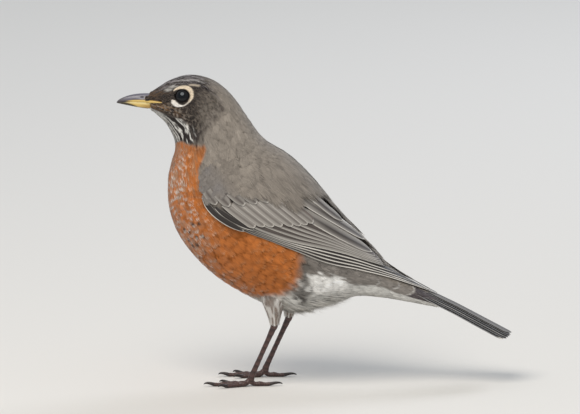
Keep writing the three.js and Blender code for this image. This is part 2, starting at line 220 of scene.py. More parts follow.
class RobinStage(bpy.types.PropertyGroup):
    floor: colour_property("Floor", "Pale studio floor", "#dcdad6")
    key: FloatProperty(name="Key light", description="Power of the large soft light", default=30, min=0)
    sky: FloatProperty(name="Sky", description="Strength of the even light all round", default=0.62, min=0)
    elevation: FloatProperty(
        name="Camera elevation", description="Height of the camera's view", default=math.radians(9), unit="ROTATION"
    )


def colour(name):
    """One of the colours set in the sidebar, linear."""
    return np.array(getattr(bpy.context.scene.robin_colours, name))


def side_name(side):
    """The bird's left is towards -Y, its right towards +Y."""
    return "left" if side < 0 else "right"


# ------------------------------------------------------------------ meshes and materials


def mesh_piece(name, points, faces, uvs=None, colours=None, smooth=None):
    """One mesh from arrays: points in mm, faces as a list of index arrays with 3 or 4 corners a row.

    uvs maps a UV map's name to one (u, v) for each point, and colours is one linear colour for each point.
    smooth tells of each array of faces whether it is shaded smooth.
    """
    mesh = bpy.data.meshes.new(name)
    points = np.asarray(points, np.float32).reshape(-1, 3) * MM
    faces = [np.asarray(f, np.int32) for f in faces if len(f)]
    corners = np.concatenate([f.ravel() for f in faces])
    counts = np.concatenate([np.full(len(f), f.shape[1]) for f in faces])
    mesh.vertices.add(len(points))
    mesh.vertices.foreach_set("co", points.ravel())
    mesh.loops.add(len(corners))
    mesh.loops.foreach_set("vertex_index", corners)
    mesh.polygons.add(len(counts))
    mesh.polygons.foreach_set("loop_start", np.concatenate([[0], np.cumsum(counts)[:-1]]))
    smooth = smooth or [True] * len(faces)
    mesh.polygons.foreach_set("use_smooth", np.concatenate([np.full(len(f), on) for f, on in zip(faces, smooth)]))
    for uv_name, uv in (uvs or {}).items():
        layer = mesh.uv_layers.new(name=uv_name)
        layer.data.foreach_set("uv", np.asarray(uv, np.float32).reshape(-1, 2)[corners].ravel())
    if colours is not None:
        layer = mesh.attributes.new("Markings", "FLOAT_COLOR", "POINT")
        rgba = np.ones((len(points), 4), np.float32)
        rgba[:, :3] = np.asarray(colours).reshape(-1, 3)
        layer.data.foreach_set("color", rgba.ravel())
    mesh.update(calc_edges=True)
    mesh.validate()
    piece = bpy.data.objects.new(name, mesh)
    bpy.context.scene.collection.objects.link(piece)
    return piece


def place(piece, material, slot, *nodes):
    """Gives a finished piece its material and its body, and hides the solids that it stands for. slot is not used."""
    piece.data.materials.append(material)
    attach(piece, "root")
    if nodes:
        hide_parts(*nodes)


def node(tree, kind, links=None, **settings):
    """Adds a shader node. settings are its properties, or its inputs' values, and links feed its inputs."""
    made = tree.nodes.new(kind)
    for key, value in settings.items():
        if hasattr(made, key):
            setattr(made, key, value)
        else:
            made.inputs[key.replace("_", " ")].default_value = value
    for key, source in (links or {}).items():
        tree.links.new(source, made.inputs[key])
    return made


def finish(name, build):
    """The material of that name. The first time, build(tree) makes its nodes and returns its shader."""
    if name in bpy.data.materials:
        return bpy.data.materials[name]
    material = bpy.data.materials.new(name)
    material.use_nodes = True
    tree = material.node_tree
    tree.nodes.clear()
    node(tree, "ShaderNodeOutputMaterial", {"Surface": build(tree).outputs[0]})
    return material


# ------------------------------------------------------------------ markings of the plumage

# Border of the orange breast: angles from the back (degrees) where it starts, at these stations ...
ORANGE_TOP = ([6.0, 6.4, 6.75, 7.0, 7.25, 7.6, 9.0, 10.0, 11.3], [98, 93, 91, 97, 106, 107, 92, 80, 66])
# ... and the stations where it starts and ends, at these angles.
ORANGE_FRONT = ([90, 97, 108, 120, 128, 137, 150, 165, 180], [6.5, 6.4, 6.05, 5.6, 5.0, 4.65, 4.3, 4.15, 4.15])
ORANGE_REAR = ([60, 82, 95, 110, 125, 140, 160, 180], [10.9, 11.15, 11.35, 11.5, 11.45, 11.2, 10.9, 10.8])
# Stations where the dark face and crown end, at these angles.
FACE_END = ([0, 25, 40, 52, 62, 75, 83, 90, 98, 109, 118], [3.7, 4.1, 4.8, 4.6, 4.4, 4.7, 5.3, 6.0, 6.4, 6.2, 6.0])
# Lower edge of the dark face: angles where the throat starts, at these stations.
FACE_LOW = ([0.0, 1.0, 1.7, 2.3, 3.0, 3.6, 4.5], [133, 126, 123, 119, 113, 107.5, 106])
# Rows of pale rims on the grey flank (station, first and last angle) and the dark spots on the breast.
FLANK_RIMS = ((14.2, 68, 90), (15.05, 50, 82), (15.85, 34, 92))
BREAST_SPOTS = (
    (8.68, 149), (8.68, 134), (8.78, 127), (8.83, 144), (9.05, 139), (9.12, 132), (9.0, 153), (9.18, 153), (9.22, 146)
)


def orange_share(s, angle):
    """1 inside the borders of the orange breast and 0 outside, with ragged edges."""
    rough = 0.25 * (grain(s * 9, angle / 4, 1) - 0.5)
    share = ramp(angle - np.interp(s, *ORANGE_TOP), -2.5, 3.0)
    share = share * ramp(s - np.interp(angle, *ORANGE_FRONT) + rough, -0.14, 0.14)
    return share * ramp(np.interp(angle, *ORANGE_REAR) - s + rough * 0.5, -0.2, 0.2)


# The eye's place and half sizes on the plumage, in stations and degrees.
EYE_AT, EYE_SPAN = (2.98, 67), (0.72, 20.5)
# Half width and radius of its white ring in shares of these sizes, by turns: 0 in front, 90 above, -90 below.
RING_WIDTH = (
    [-180, -150, -120, -100, -70, -45, -30, 25, 45, 80, 130, 180],
    [0.13, 0.04, 0.03, 0.08, 0.22, 0.24, 0, 0, 0.12, 0.18, 0.19, 0.15],
)
RING_MIDDLE = (
    [-180, -140, -100, -60, -40, 40, 60, 90, 130, 180],
    [1.02, 0.98, 0.98, 1.06, 1.08, 0.98, 0.92, 0.88, 0.93, 1.02],
)


def from_eye(s, angle):
    """Steps back and up from the eye's middle, in shares of its size."""
    return (s - EYE_AT[0]) / EYE_SPAN[0], (EYE_AT[1] - angle) / EYE_SPAN[1]


def eye_ring(s, angle):
    """White feathers round the eye: an uneven ring, broken in front, and a short pale line back from its top."""
    back, up = from_eye(s, angle)
    turn = np.degrees(np.arctan2(up, -back))
    width, middle = np.interp(turn, *RING_WIDTH), np.interp(turn, *RING_MIDDLE)
    off = np.abs(np.hypot(back, up) - middle)
    ring = (1 - ramp(off, width * 0.8, width * 1.25 + 0.02)) * (width > 0.02)
    line = between(angle, 37.5 - 5 * (s - 3.9), 42.5 - 4 * (s - 3.9), 1.5) * between(s, 3.3, 3.95, 0.1)
    return np.clip(ring + line * 0.7, 0, 1)


THROAT_STRIPES = [  # middle and half width in degrees, first and last station
    (99, 1.2, 4.6, 5.9),
    (111.5, 4.8, 2.7, 5.1),
    (108.5, 1.0, 4.7, 6.1),
    (116.5, 1.0, 4.9, 5.9),
    (128, 3.5, 1.6, 5.1),
    (140, 2.4, 0.9, 4.8),
    (147.5, 2.6, 0.6, 4.7),
    (156, 3.0, 0.4, 4.7),
    (165, 3.2, 0.4, 4.7),
    (175, 4.2, 0.4, 4.7),
]


def throat_stripes(s, angle):
    """White (1) and black (0) stripes back along the throat: bands about their middle angles, tapered at both
    ends, that wave and break with the grain."""
    wave = 1.0 * np.sin(2.1 * s) + 6 * (grain(s * 2.2, angle / 7, 2) - 0.5)
    white = np.zeros_like(s)
    for middle, half, start, end in THROAT_STRIPES:
        taper = np.clip(ramp(s, start, start + 1.0) * (1 - ramp(s, end - 0.7, end)) + 0.05, 0, 1)
        off = np.abs(angle + wave - middle)
        band = 1 - ramp(off, half * taper * 0.7, half * taper + 0.9)
        white = np.maximum(white, band * ramp(taper, 0.05, 0.4))
    return white * (0.2 + 0.8 * ramp(grain(s * 3.4, angle / 1.3, 3), 0.32, 0.5))


def vent_markings(s, angle, streak, fleck):
    """Rear of the belly: grey flanks, a white patch, white under the tail, and a dark mottled bar and spots
    behind the orange. Its underside is greyed by a mottled painted shade."""
    white = colour("white")
    flank = shade("#817b75") * (0.88 + 0.24 * streak)[..., None]
    edge = np.interp(s, [11, 12, 13, 14, 14.5, 15.2, 16, 17], [104, 94, 93, 91, 87, 95, 93, 98])
    col = mix(flank, white, ramp(angle - edge + 4 * (streak - 0.5), -3, 3))
    # painted shade: the downward-facing underside greyer, mottled with the streaks
    col = mix(col, shade("#a19c92"), ramp(angle, 112, 150) * (0.25 + 0.6 * ramp(streak, 0.35, 0.7)))
    far = np.hypot((s - 12.4) / 0.8, (angle - 98) / 14) + 0.5 * (streak - 0.5)
    col = mix(col, shade("#f2f0ec"), 1 - ramp(far, 0.75, 1.15))
    bar = between(s, 11.2, 11.72 + 0.35 * ramp(angle, 95, 112), 0.1) * between(angle, 80, 124, 5)
    col = mix(col, shade("#5f5a54"), bar * (0.3 + 0.55 * ramp(fleck * 0.5 + streak * 0.5, 0.35, 0.65)))
    spots = between(s, 11.7, 12.1, 0.08) * between(angle, 120, 131, 2) * ramp(fleck, 0.45, 0.55)
    return mix(col, shade("#38322e"), spots * 0.7)


def flank_markings(col, s, angle, streak):
    """Bowed pale rims across the grey flank, and behind the last one the dark side of the tail's base."""
    for at, low, high in FLANK_RIMS:
        bow = at - 0.16 * (2 * (angle - low) / (high - low) - 1) ** 2
        rim = between(s, bow - 0.06, bow + 0.03, 0.03) * between(angle, low, high, 3)
        col = mix(col, colour("white"), rim * (0.25 + 0.5 * ramp(streak, 0.35, 0.65)))
    return mix(col, shade("#4a4345"), ramp(s - bow, 0.02, 0.1) * between(angle, 30, 96, 3))


def breast_markings(s, angle, streak, fleck):
    """Orange breast: chalky and mottled in front and along the middle, deep behind, with a few dark spots."""
    orange = colour("breast")
    col = mix(orange * 0.97, orange * 1.05, ramp(s, 8.5, 10.5))
    chalk = ramp(angle, 108, 145) * (1 - ramp(s, 9.0, 10.4)) + 0.5 * ramp(angle, 138, 160)
    mottle = np.clip(chalk, 0, 1) * ramp(fleck * 0.6 + streak * 0.5, 0.42, 0.75)
    col = mix(col, shade("#a5917f"), mottle * 0.4)
    dusky = (1 - ramp(s, 7.6, 8.6)) * ramp(streak, 0.4, 0.75) * 0.45
    col = mix(col, shade("#8d7660"), dusky)
    spots = sum(spot(s, angle, at, (0.06, 2.2)) for at in BREAST_SPOTS)
    return mix(col, shade("#33241c"), np.clip(2 * spots - 0.3, 0, 1) * 0.9)


def face_markings(s, angle, streak, fleck):
    """Dark crown and face, with a painted lilac-grey highlight on the top of the crown, rust by the bill and pale
    flecks along the jaw.
    """
    col = mix(colour("crown"), shade("#453b36"), ramp(fleck, 0.45, 0.8) * 0.6)
    # painted highlight: patches of lilac grey, the sky reflected on the top of the crown
    lilac = ramp(grain(s * 2.3, angle / 5.2, 3), 0.48, 0.66) * (1 - ramp(angle, 34, 46)) * ramp(s, 0.8, 2.0)
    col = mix(col, shade("#a39d9f"), lilac * 0.8)
    rust = spot(s, angle, (1.9, 101), (1.2, 9)) + 1.1 * spot(s, angle, (0.5, 108), (0.9, 16))
    rust = rust + 0.5 * spot(s, angle, (0.6, 45), (1.1, 30))
    col = mix(col, shade("#8a6743"), np.clip(rust, 0, 1) * ramp(streak, 0.4, 0.6))
    pale = between(angle, 88, 112, 6) * between(s, 0.2, 5.6, 0.4) * ramp(fleck, 0.58, 0.75)
    return mix(col, shade("#9b9084"), pale * 0.7)


def ear_markings(col, s, angle, streak, fleck):
    """Ear coverts: browner, flecked with black and with a dark rim behind."""
    ear = between(s, 4.2, 5.95, 0.35) * between(angle, 46, 90, 6)
    col = mix(col, shade("#7a7168"), ear * (0.2 + 0.55 * ramp(fleck, 0.4, 0.6)))
    flecks = between(s, 3.7, 6.0, 0.3) * between(angle, 44, 97, 5) * ramp(grain(s * 9.7, angle / 2.7), 0.5, 0.68)
    col = mix(col, shade("#322b27"), flecks * 0.6 * (1 - 0.5 * ramp(s, 5, 6)))
    rim = between(s, 5.45 + 0.006 * (angle - 47), 5.95, 0.12) * between(angle, 42, 96, 5)
    return mix(col, shade("#453d38"), rim * ramp(streak * 0.5 + fleck * 0.5, 0.38, 0.6) * 0.7)


def brow_markings(col, s, angle, streak, fleck):
    """Pale spot before the eye and thin pale brow, with a dark line under the brow and a dark lid."""
    pale = np.clip(1.7 * spot(s, angle, (1.98, 48.5), (0.4, 7.5)) - 0.25, 0, 1)
    pale = pale * (0.3 + 0.7 * ramp(fleck * 0.5 + streak * 0.5, 0.35, 0.55))
    pale = np.maximum(pale, between(angle, 26.5, 31, 2) * between(s, 2.5, 4.1, 0.2) * 0.5)
    pale = np.maximum(pale, spot(s, angle, (2.3, 43), (0.4, 5)) * ramp(streak, 0.25, 0.55))
    col = mix(col, colour("white") * 0.95, pale)
    col = mix(col, colour("crown"), between(angle, 34, 40, 1.5) * between(s, 2.5, 3.8, 0.15) * 0.8)
    return mix(col, shade("#14100e"), 1 - ramp(np.hypot(*from_eye(s, angle)), 0.68, 0.9))


def markings(s, angle):
    """Colour of the plumage at stations s and angles from the back in degrees, before each feather's own."""
    back, crown, white = (colour(k) for k in ("back", "crown", "white"))
    streak = grain(s * 3.2, angle / 2.2)
    fleck = grain(s * 8, angle / 3.4, 1)
    broad = grain(s * 1.1, angle / 14, 2)
    fine = grain(s * 7.3, angle / 2.9, 3)
    col = mix(back * 1.06, back * 0.92, ramp(s, 7, 11))
    col = col * (0.86 + 0.14 * broad + 0.14 * fine)[..., None]
    rear = ramp(angle, 52, 66) * ramp(s, 10.9, 11.3) + ramp(angle, 70, 120) * ramp(s, 10.7, 11.0)
    col = mix(col, vent_markings(s, angle, streak, fleck), np.clip(rear, 0, 1))
    col = flank_markings(col, s, angle, streak)
    col = mix(col, breast_markings(s, angle, streak, fleck), orange_share(s, angle))

    end, low, front = np.interp(angle, *FACE_END), np.interp(s, *FACE_LOW), np.interp(angle, *ORANGE_FRONT)
    face = 1 - ramp(s - end + 0.9 * (streak - 0.5), -0.5, 0.5)
    face = face * (1 - ramp(angle - low, -2, 2)) * (1 - ramp(angle, 112, 122) * ramp(s, 3, 4))
    col = mix(col, face_markings(s, angle, streak, fleck), face)
    col = ear_markings(col, s, angle, streak, fleck)
    chin = ramp(angle, 120, 134) * (1 - ramp(s, 1.3, 2.6)) * (0.55 + 0.35 * ramp(streak, 0.35, 0.6))
    throat = mix(crown * 0.9, white, np.maximum(throat_stripes(s, angle), chin))
    in_throat = ramp(angle - low, -2.5, 2.5) * ramp(front - s, -0.12, 0.15)
    in_throat = np.maximum(in_throat, between(angle, 97, 106, 1.5) * between(s, 4.5, 5.8, 0.2) * 0.8)
    col = brow_markings(mix(col, throat, in_throat), s, angle, streak, fleck)
    ring = mix(shade("#e6e2dc"), shade("#e0d0b8"), ramp(100 - angle, 10, 35))
    return mix(col, ring, eye_ring(s, angle))


def rim_shade(s, angle):
    """Colour and strength of the pale rims of the contour feathers: strongest on the front of the breast."""
    share = orange_share(s, angle)
    front = np.maximum((1 - ramp(s, 8.8, 10.2)) * ramp(angle, 103, 135), 0.75 * ramp(angle, 128, 150))
    strength = 0.22 + share * (0.12 + 0.75 * front)
    strength = strength * (1 - 0.6 * (1 - ramp(s, 4.6, 5.6)) * ramp(angle, 40, 60))
    tint = mix(shade("#a8a199") + 0 * s[..., None], mix(shade("#d9a273"), shade("#d2c9c1"), front), share)
    return tint, strength


def streaks(s, angle):
    """Colour and strength of the pale sides of the head's feathers: lilac grey on the crown, brown on the face."""
    crown = (1 - ramp(angle, 36, 48)) * ramp(s, 0.2, 1.2) * (1 - ramp(s, 4.2, 5.6))
    face = ramp(angle, 36, 48) * (1 - ramp(s, 5.2, 6.2)) * (1 - ramp(angle, 100, 106)) * (1 - eye_ring(s, angle))
    tint = mix(shade("#a8a2a5") + 0 * s[..., None], shade("#776a5d"), face)
    return tint, 0.55 * crown + 0.6 * face


# ------------------------------------------------------------------ contour feathers


def lattice(start, end, step, pitch, rng, low=0.0, high=180.0):
    """Roots of rows of feathers on both sides: rows step stations apart, feathers pitch mm apart in a row.

    Every other row is set half a pitch over, as tiles are, and each root is shaken a little.
    """
    roots = []
    for row, s in enumerate(np.arange(start, end, step)):
        r, _ = loft(s)
        half_height = np.hypot(r[0] - r[2], r[1] - r[3]) / 2
        half_round = np.pi * math.sqrt((half_height**2 + r[4] ** 2) / 2)
        count = max(4, round(half_round / pitch))
        side = (np.arange(count) + 0.25 + 0.5 * (row % 2)) / count
        side = np.pi * np.concatenate([side, -side])
        roots.append(np.stack([np.full(len(side), s), side], -1))
    roots = np.concatenate(roots)
    roots = roots + rng.normal(size=roots.shape) * [0.18 * step, 0.16 * pitch / 25]  # about 25 mm from the middle
    angle = np.degrees(np.abs(roots[:, 1]))
    return roots[(angle >= low) & (angle <= high)]


# Where the long feathers of the shoulder end over the wing: angles at these stations.
SCAPULAR_EDGE = ([7.5, 8.2, 8.9, 9.2, 9.5, 9.8, 10.5, 10.8, 13], [80, 79, 78, 72, 64, 56, 51, 46, 30])


def coat_top(s, angle):
    """Height of the plumage over the solids' surface in mm: none, but over the shoulders it lies on the wings,
    and a low ridge runs down the back between them."""
    edge = np.interp(s, *SCAPULAR_EDGE)
    side = ramp(angle, 25, 60)
    over = ramp(s, 7.0, 9.0) * (1 - side) + ramp(s, 6.7, 8.4) * side
    over = over * (0.7 + 0.3 * ramp(angle, 5, 30)) * (1 - ramp(angle, edge + 2, edge + 10))
    ridge = 2.0 * ramp(s, 9.5, 10.5) * (1 - ramp(s, 12.5, 14)) * (1 - ramp(angle, 9, 16))
    return np.maximum(3.3 * over * (1 - ramp(s, 10.2, 11.5)), ridge)


PATCH = 0.003  # size of a feather's patch on the bake map


def tufts(
    roots,
    length,
    width,
    depth,
    top,
    barbs,
    bends,
    barb_width,
    rng,
    ruffle=0.12,
    shake=0.07,
    hang=0.0,
    form=surface,
    unwrap=(LAST, 2 * np.pi),
):
    """Contour feathers, each a fan of narrow barbs. Returns points, faces, bake places, stations, angles and
    the shares (along a barb, along the feather, across the feather) of every point.

    A barb sits at share q from the feather's base (0) to its end (1). It leaves the shaft and runs to the
    feather's outline, an oval of half width and length: it ends at x = length (0.42 + 0.58 sin(q 90)) and
    y = +-width cos(q 90)^0.8. Its height rises from -depth at the root to top at the end, as 1 - (1 - x)^4, and
    its ribbon narrows to a point. Its end sinks by up to hang where the plumage is loose. form is the surface
    under them, and unwrap the range of its two parameters.
    """
    n = len(roots)
    length, width, depth, top, ruffle, hang = (
        np.broadcast_to(v, n).astype(float)[:, None, None] for v in (length, width, depth, top, ruffle, hang)
    )
    length = length * rng.normal(1, 0.07, n)[:, None, None]
    _, normal, along, around = form(roots[:, 0], roots[:, 1], np.zeros(n))
    ahead = unit(along)
    beside = np.cross(normal, ahead)
    turn = rng.normal(0, shake, n)[:, None]
    ahead, beside = ahead * np.cos(turn) + beside * np.sin(turn), beside * np.cos(turn) - ahead * np.sin(turn)
    ahead, beside, along, around = (v[:, None, None] for v in (ahead, beside, along, around))

    q = (np.arange(barbs) // 2 + 0.5) / (barbs / 2)
    q = np.clip(q + rng.normal(0, 0.03, (n, barbs)), 0.02, 1)
    sign = np.where(np.arange(barbs) % 2, 1, -1)
    end_x = (0.42 + 0.58 * np.sin(q * np.pi / 2)) * (1 + rng.normal(0, 0.035, (n, barbs)))
    end_y = sign * np.cos(q * np.pi / 2) ** 0.8
    start_x = np.clip(end_x - 0.55, 0.02, 1)
    t = np.linspace(0, 1, bends + 1)
    x = start_x[..., None] + (end_x - start_x)[..., None] * t
    y = end_y[..., None] * (0.12 + 0.88 * t**0.85)
    height = -depth + (depth + top) * (1 - (1 - np.clip(x, 0, 1)) ** 4)
    height = height + rng.normal(0, 1, (n, barbs, 1)) * ruffle * t - 0.08 * width * y**2

    x, y = x * length, y * width
    taper = np.sqrt(np.clip(1 - t, 0, 1)) * (0.55 + 0.45 * np.minimum(1, t * 3)) / 2
    taper = taper * np.reshape(barb_width, (-1, 1, 1))
    run = unit(np.stack([np.gradient(x, axis=-1), np.gradient(y, axis=-1)], -1))
    pairs = (
        [x + run[..., 1] * taper, x - run[..., 1] * taper],
        [y - run[..., 0] * taper, y + run[..., 0] * taper],
        [height, height],
        [np.broadcast_to(t, x.shape)] * 2,
    )
    # Two points a bend, one on each edge, but one at the tip.
    x, y, height, t = (np.stack(pair, -1).reshape(n, barbs, -1)[..., :-1] for pair in pairs)
    offset = x[..., None] * ahead + y[..., None] * beside
    s, a = slide(roots[:, :1, None], roots[:, 1:, None], offset, along, around)
    points = form(np.clip(s, -0.9, LAST + 0.6), a, height)[0]
    points[..., 2] -= hang * rng.random((n, barbs, 1)) * np.clip(x / length, 0, 1) ** 2

    base = np.arange(n * barbs)[:, None] * (2 * bends + 1)
    last = 2 * (bends - 1)
    quads = np.concatenate([base + [k, k + 2, k + 3, k + 1] for k in range(0, last, 2)])
    faces = [quads, base + [last, last + 2, last + 1]]
    patch = np.stack([x / length - 0.5, y / width / 2], -1) * PATCH
    at = np.stack([roots[:, 0] / unwrap[0] * 0.9 + 0.05, roots[:, 1] / unwrap[1] * 0.9 + 0.5], -1)
    return points, faces, at[:, None, None] + patch, s, a, (t, np.clip(x / length, 0, 1), np.abs(y) / width)


def tuft_colours(s, a, shares, rng, rim=1.0):
    """Markings at each point, with each feather and barb a little its own shade, paler at the barbs' ends, and darker
    towards each feather's hidden base as painted shade.

    On the head the middle of each feather is darker and its sides are paler, which reads as streaks. rim is how
    strong the pale ends are.
    """
    t, rise, across = shares
    angle = np.degrees(np.abs(a))
    angle = np.where(angle > 180, 360 - angle, angle)
    col = markings(s, angle)
    tint, strength = rim_shade(s, angle)
    ends = ramp(t, 0.55, 1.0) * ramp(rise, 0.55, 0.95)
    n, barbs, _ = s.shape
    worn = ramp(rng.random((n, 1, 1)), 0.15, 0.75)
    middle = 1 - 0.8 * ramp(across, 0.4, 0.75)
    col = mix(col, tint, np.clip(strength * ends * rim * 2.1 * worn * middle, 0, 1))
    tint, strength = streaks(s, angle)
    sides = ramp(across + rng.normal(0, 0.1, (n, barbs, 1)), 0.42, 0.65)
    col = mix(col, tint, strength * sides)
    col = col * (1 - 0.6 * strength * (1 - sides))[..., None]
    own = 1 + rng.normal(0, 0.09, (n, 1, 1)) + rng.normal(0, 0.072, (n, barbs, 1))
    # painted shade: each feather a little darker towards its base, where the feathers over it shadow it
    base_shade = 0.95 + 0.05 * ramp(rise, 0.3, 0.7)
    return col * (own * base_shade)[..., None]


def join(*pieces):
    """Joins (points, faces, *per-point arrays) from several makers into one such tuple."""
    points = [np.reshape(p[0], (-1, 3)) for p in pieces]
    starts = np.cumsum([0] + [len(p) for p in points[:-1]])
    faces = [f + start for p, start in zip(pieces, starts) for f in p[1]]
    others = [
        np.concatenate([np.reshape(v, (len(q), -1)) for v, q in zip(column, points)])
        for column in zip(*[p[2:] for p in pieces])
    ]
    return (np.concatenate(points), faces, *others)


def coat(name, slot_name, roots, sizes, rng, paint=tuft_colours):
    """One piece of contour feathers: on each root a tuft of its own sizes, with the colours that paint gives."""
    points, faces, bake, s, a, shares = tufts(roots, rng=rng, **sizes)
    piece = mesh_piece(name, points, faces, {"OFBake": bake}, np.clip(paint(s, a, shares, rng), 0, 1))
    place(piece, finish("Feather barbs", feather_barbs), slot_name)


def body_sizes(s, angle):
    """Feathers of the trunk: small on the neck, long over the shoulders, on the flanks and under the tail."""
    scapular = ramp(s, 7.6, 9.0) * (1 - ramp(s, 11.0, 12.0)) * (1 - ramp(angle, 60, 82))
    size = np.interp(s, [4.5, 5.5, 6.5, 8, 10, 13, 15, 17], [0.48, 0.55, 0.66, 0.78, 0.85, 0.9, 0.8, 0.7])
    depth = np.interp(s, [4.5, 7, 9], [1.0, 1.2, 1.25]) - 1.2 * coat_top(s, angle) * ramp(s, 8.4, 9.2)
    vent = ramp(s, 11.3, 11.9) * (1 - ramp(s, 12.7, 13.5)) * ramp(angle, 106, 130)
    return dict(
        length=9.5 * size * (1 + 0.7 * scapular) * (1 + 0.6 * vent),
        width=3.2 * size * (1 + 0.3 * scapular) * (1 + 0.1 * vent),
        depth=depth,
        top=coat_top(s, angle) - 0.1,
        barbs=26,
        bends=4,
        barb_width=0.52 + 0.14 * scapular,
        ruffle=0.08 + 0.55 * vent,
        hang=4.2 * vent,
    )


def head_sizes(s):
    """Feathers of the head: tiny at the bill, where they rise steeply out of the skin, and larger behind."""
    size = np.interp(s, [0, 1, 3, 5, 6], [0.6, 0.68, 0.85, 1.2, 1.5])
    return dict(
        length=3.4 * size,
        width=1.15 * size,
        depth=np.interp(s, [-0.8, 0.2], [-1.3, 0.9]),
        top=np.interp(s, [-0.8, 0.2], [1.5, -0.02]),
        barbs=12,
        bends=3,
        barb_width=0.3,
        ruffle=0.07,
    )


# ------------------------------------------------------------------ materials of the plumage


def feather_barbs(tree):
    """Soft loose barbs of keratin: matt, with a faint sheen along the rims of the plumage."""
    paint = node(tree, "ShaderNodeAttribute", attribute_name="Markings")
    return node(
        tree,
        "ShaderNodeBsdfPrincipled",
        {"Base Color": paint.outputs["Color"]},
        Roughness=0.72,
        Specular_IOR_Level=0.25,
        Sheen_Weight=0.12,
    )


def feather_vane(tree):
    """Close-set barbs hooked into a firm web: fine slanting lines and a silky gleam along them."""
    paint = node(tree, "ShaderNodeAttribute", attribute_name="Markings")
    lines = node(tree, "ShaderNodeUVMap", uv_map="Vane")
    barbs = node(tree, "ShaderNodeTexWave", {"Vector": lines.outputs[0]}, Scale=1.0, Distortion=1.2, Detail=1.0)
    bump = node(tree, "ShaderNodeBump", {"Height": barbs.outputs["Fac"]}, Strength=0.06, Distance=0.1 * MM)
    dark = node(tree, "ShaderNodeMapRange", {"Value": barbs.outputs["Fac"]}, To_Min=0.985, To_Max=1.012)
    links = {"Vector": paint.outputs["Color"], "Scale": dark.outputs[0]}
    tinted = node(tree, "ShaderNodeVectorMath", links, operation="SCALE")
    links = {"Base Color": tinted.outputs[0], "Normal": bump.outputs[0]}
    return node(tree, "ShaderNodeBsdfPrincipled", links, Roughness=0.55, Specular_IOR_Level=0.35)


# ------------------------------------------------------------------ vanes of wings and tail


def vane_outline(u, tip, point, base):
    """Breadth of a vane at shares u of its length: base at its root, then 1, then closing over its last tip
    share as a superellipse. point is 1 for a round end and lower for a pointed one."""
    closing = np.clip((u - (1 - tip)) / tip, 0, 1)
    end = np.clip(1 - closing ** (1.2 + 1.3 * point), 0, 1) ** (0.62 + 0.2 * (1 - point))
    return (base + (1 - base) * ramp(u, 0, 0.3)) * end


def vane_plate(points_at, count, across):
    """A closed thin plate on a grid of shares u along, closer towards the tip, and v across. points_at(u, v,
    under) gives the points of its top and of its underside. Faces come as top, underside and rim."""
    even = np.linspace(0, 1, count)
    u, v = np.meshgrid(0.6 * even + 0.4 * np.sin(even * np.pi / 2), across, indexing="ij")
    top, under = points_at(u, v, False), points_at(u, v, True)
    index = np.arange(u.size).reshape(u.shape)
    corners = [index[:-1, :-1], index[1:, :-1], index[1:, 1:], index[:-1, 1:]]
    over = np.stack(corners, -1).reshape(-1, 4)
    below = np.stack(corners[::-1], -1).reshape(-1, 4) + u.size
    ring = np.concatenate([index[0, :-1], index[:-1, -1], index[-1, :0:-1], index[:0:-1, 0]])
    after = np.roll(ring, -1)
    rim = np.stack([ring, after, after + u.size, ring + u.size], -1)
    return np.stack([top, under]).reshape(-1, 3), [over, below, rim], np.tile(u.ravel(), 2), np.tile(v.ravel(), 2)


def turned(faces, flip):
    """Faces with their corners the other way round where flip is true, for a piece that was mirrored."""
    return [f[:, ::-1] for f in faces] if flip else faces


def wing_sheet(path, side):
    """Turns shares u along a shaft, mm y across it (towards the back) and a height into points over the body.

    path(u) gives the shaft's stations and its angles in degrees. The point lies y from the shaft at right angles
    to it, along the plumage surface, and height above that surface.
    """

    def at(u, y, height):
        s, angle = path(u)
        a = side * np.radians(angle)
        s2, angle2 = path(u + 1e-3)
        _, normal, along, around = surface(s, a)
        ahead = unit(along * (s2 - s)[..., None] + around * (side * np.radians(angle2 - angle))[..., None])
        towards_back = -side * np.cross(normal, ahead)
        s, a = slide(s, a, towards_back * y[..., None], along, around)
        return surface(np.clip(s, 0, LAST + 0.9), a, height)[0]

    return at


TAIL_BASE, TAIL_TIP, TAIL_START = np.array([63.6, 46.9]), np.array([102.9, 25.9]), -12
TAIL_RUN = (TAIL_TIP - TAIL_BASE) / np.linalg.norm(TAIL_TIP - TAIL_BASE)


def tail_sheet(side, reach, base, end):
    """The same over the tail, a dome that falls 2.2 mm at 12.6 mm from its middle: the shaft runs from TAIL_START
    to reach mm behind the tail's base, and from base to end mm out from its middle."""

    def at(u, y, height):
        along = TAIL_START + (reach - TAIL_START) * u
        across = side * base + side * (end - base) * np.sin(np.clip(u, 0, 1) * np.pi / 2) - side * y
        height = height - 2.2 * (across / 12.6) ** 2 - 0.9 * ramp(u, 0.5, 0)
        x = TAIL_BASE[0] + TAIL_RUN[0] * along - TAIL_RUN[1] * height
        z = TAIL_BASE[1] + TAIL_RUN[1] * along + TAIL_RUN[0] * height
        return np.stack([x, across, z], -1)

    return at


BARB_RATE = 1.4  # wave units in a mm: barbs 0.22 mm apart, a few times coarser than life so that they show


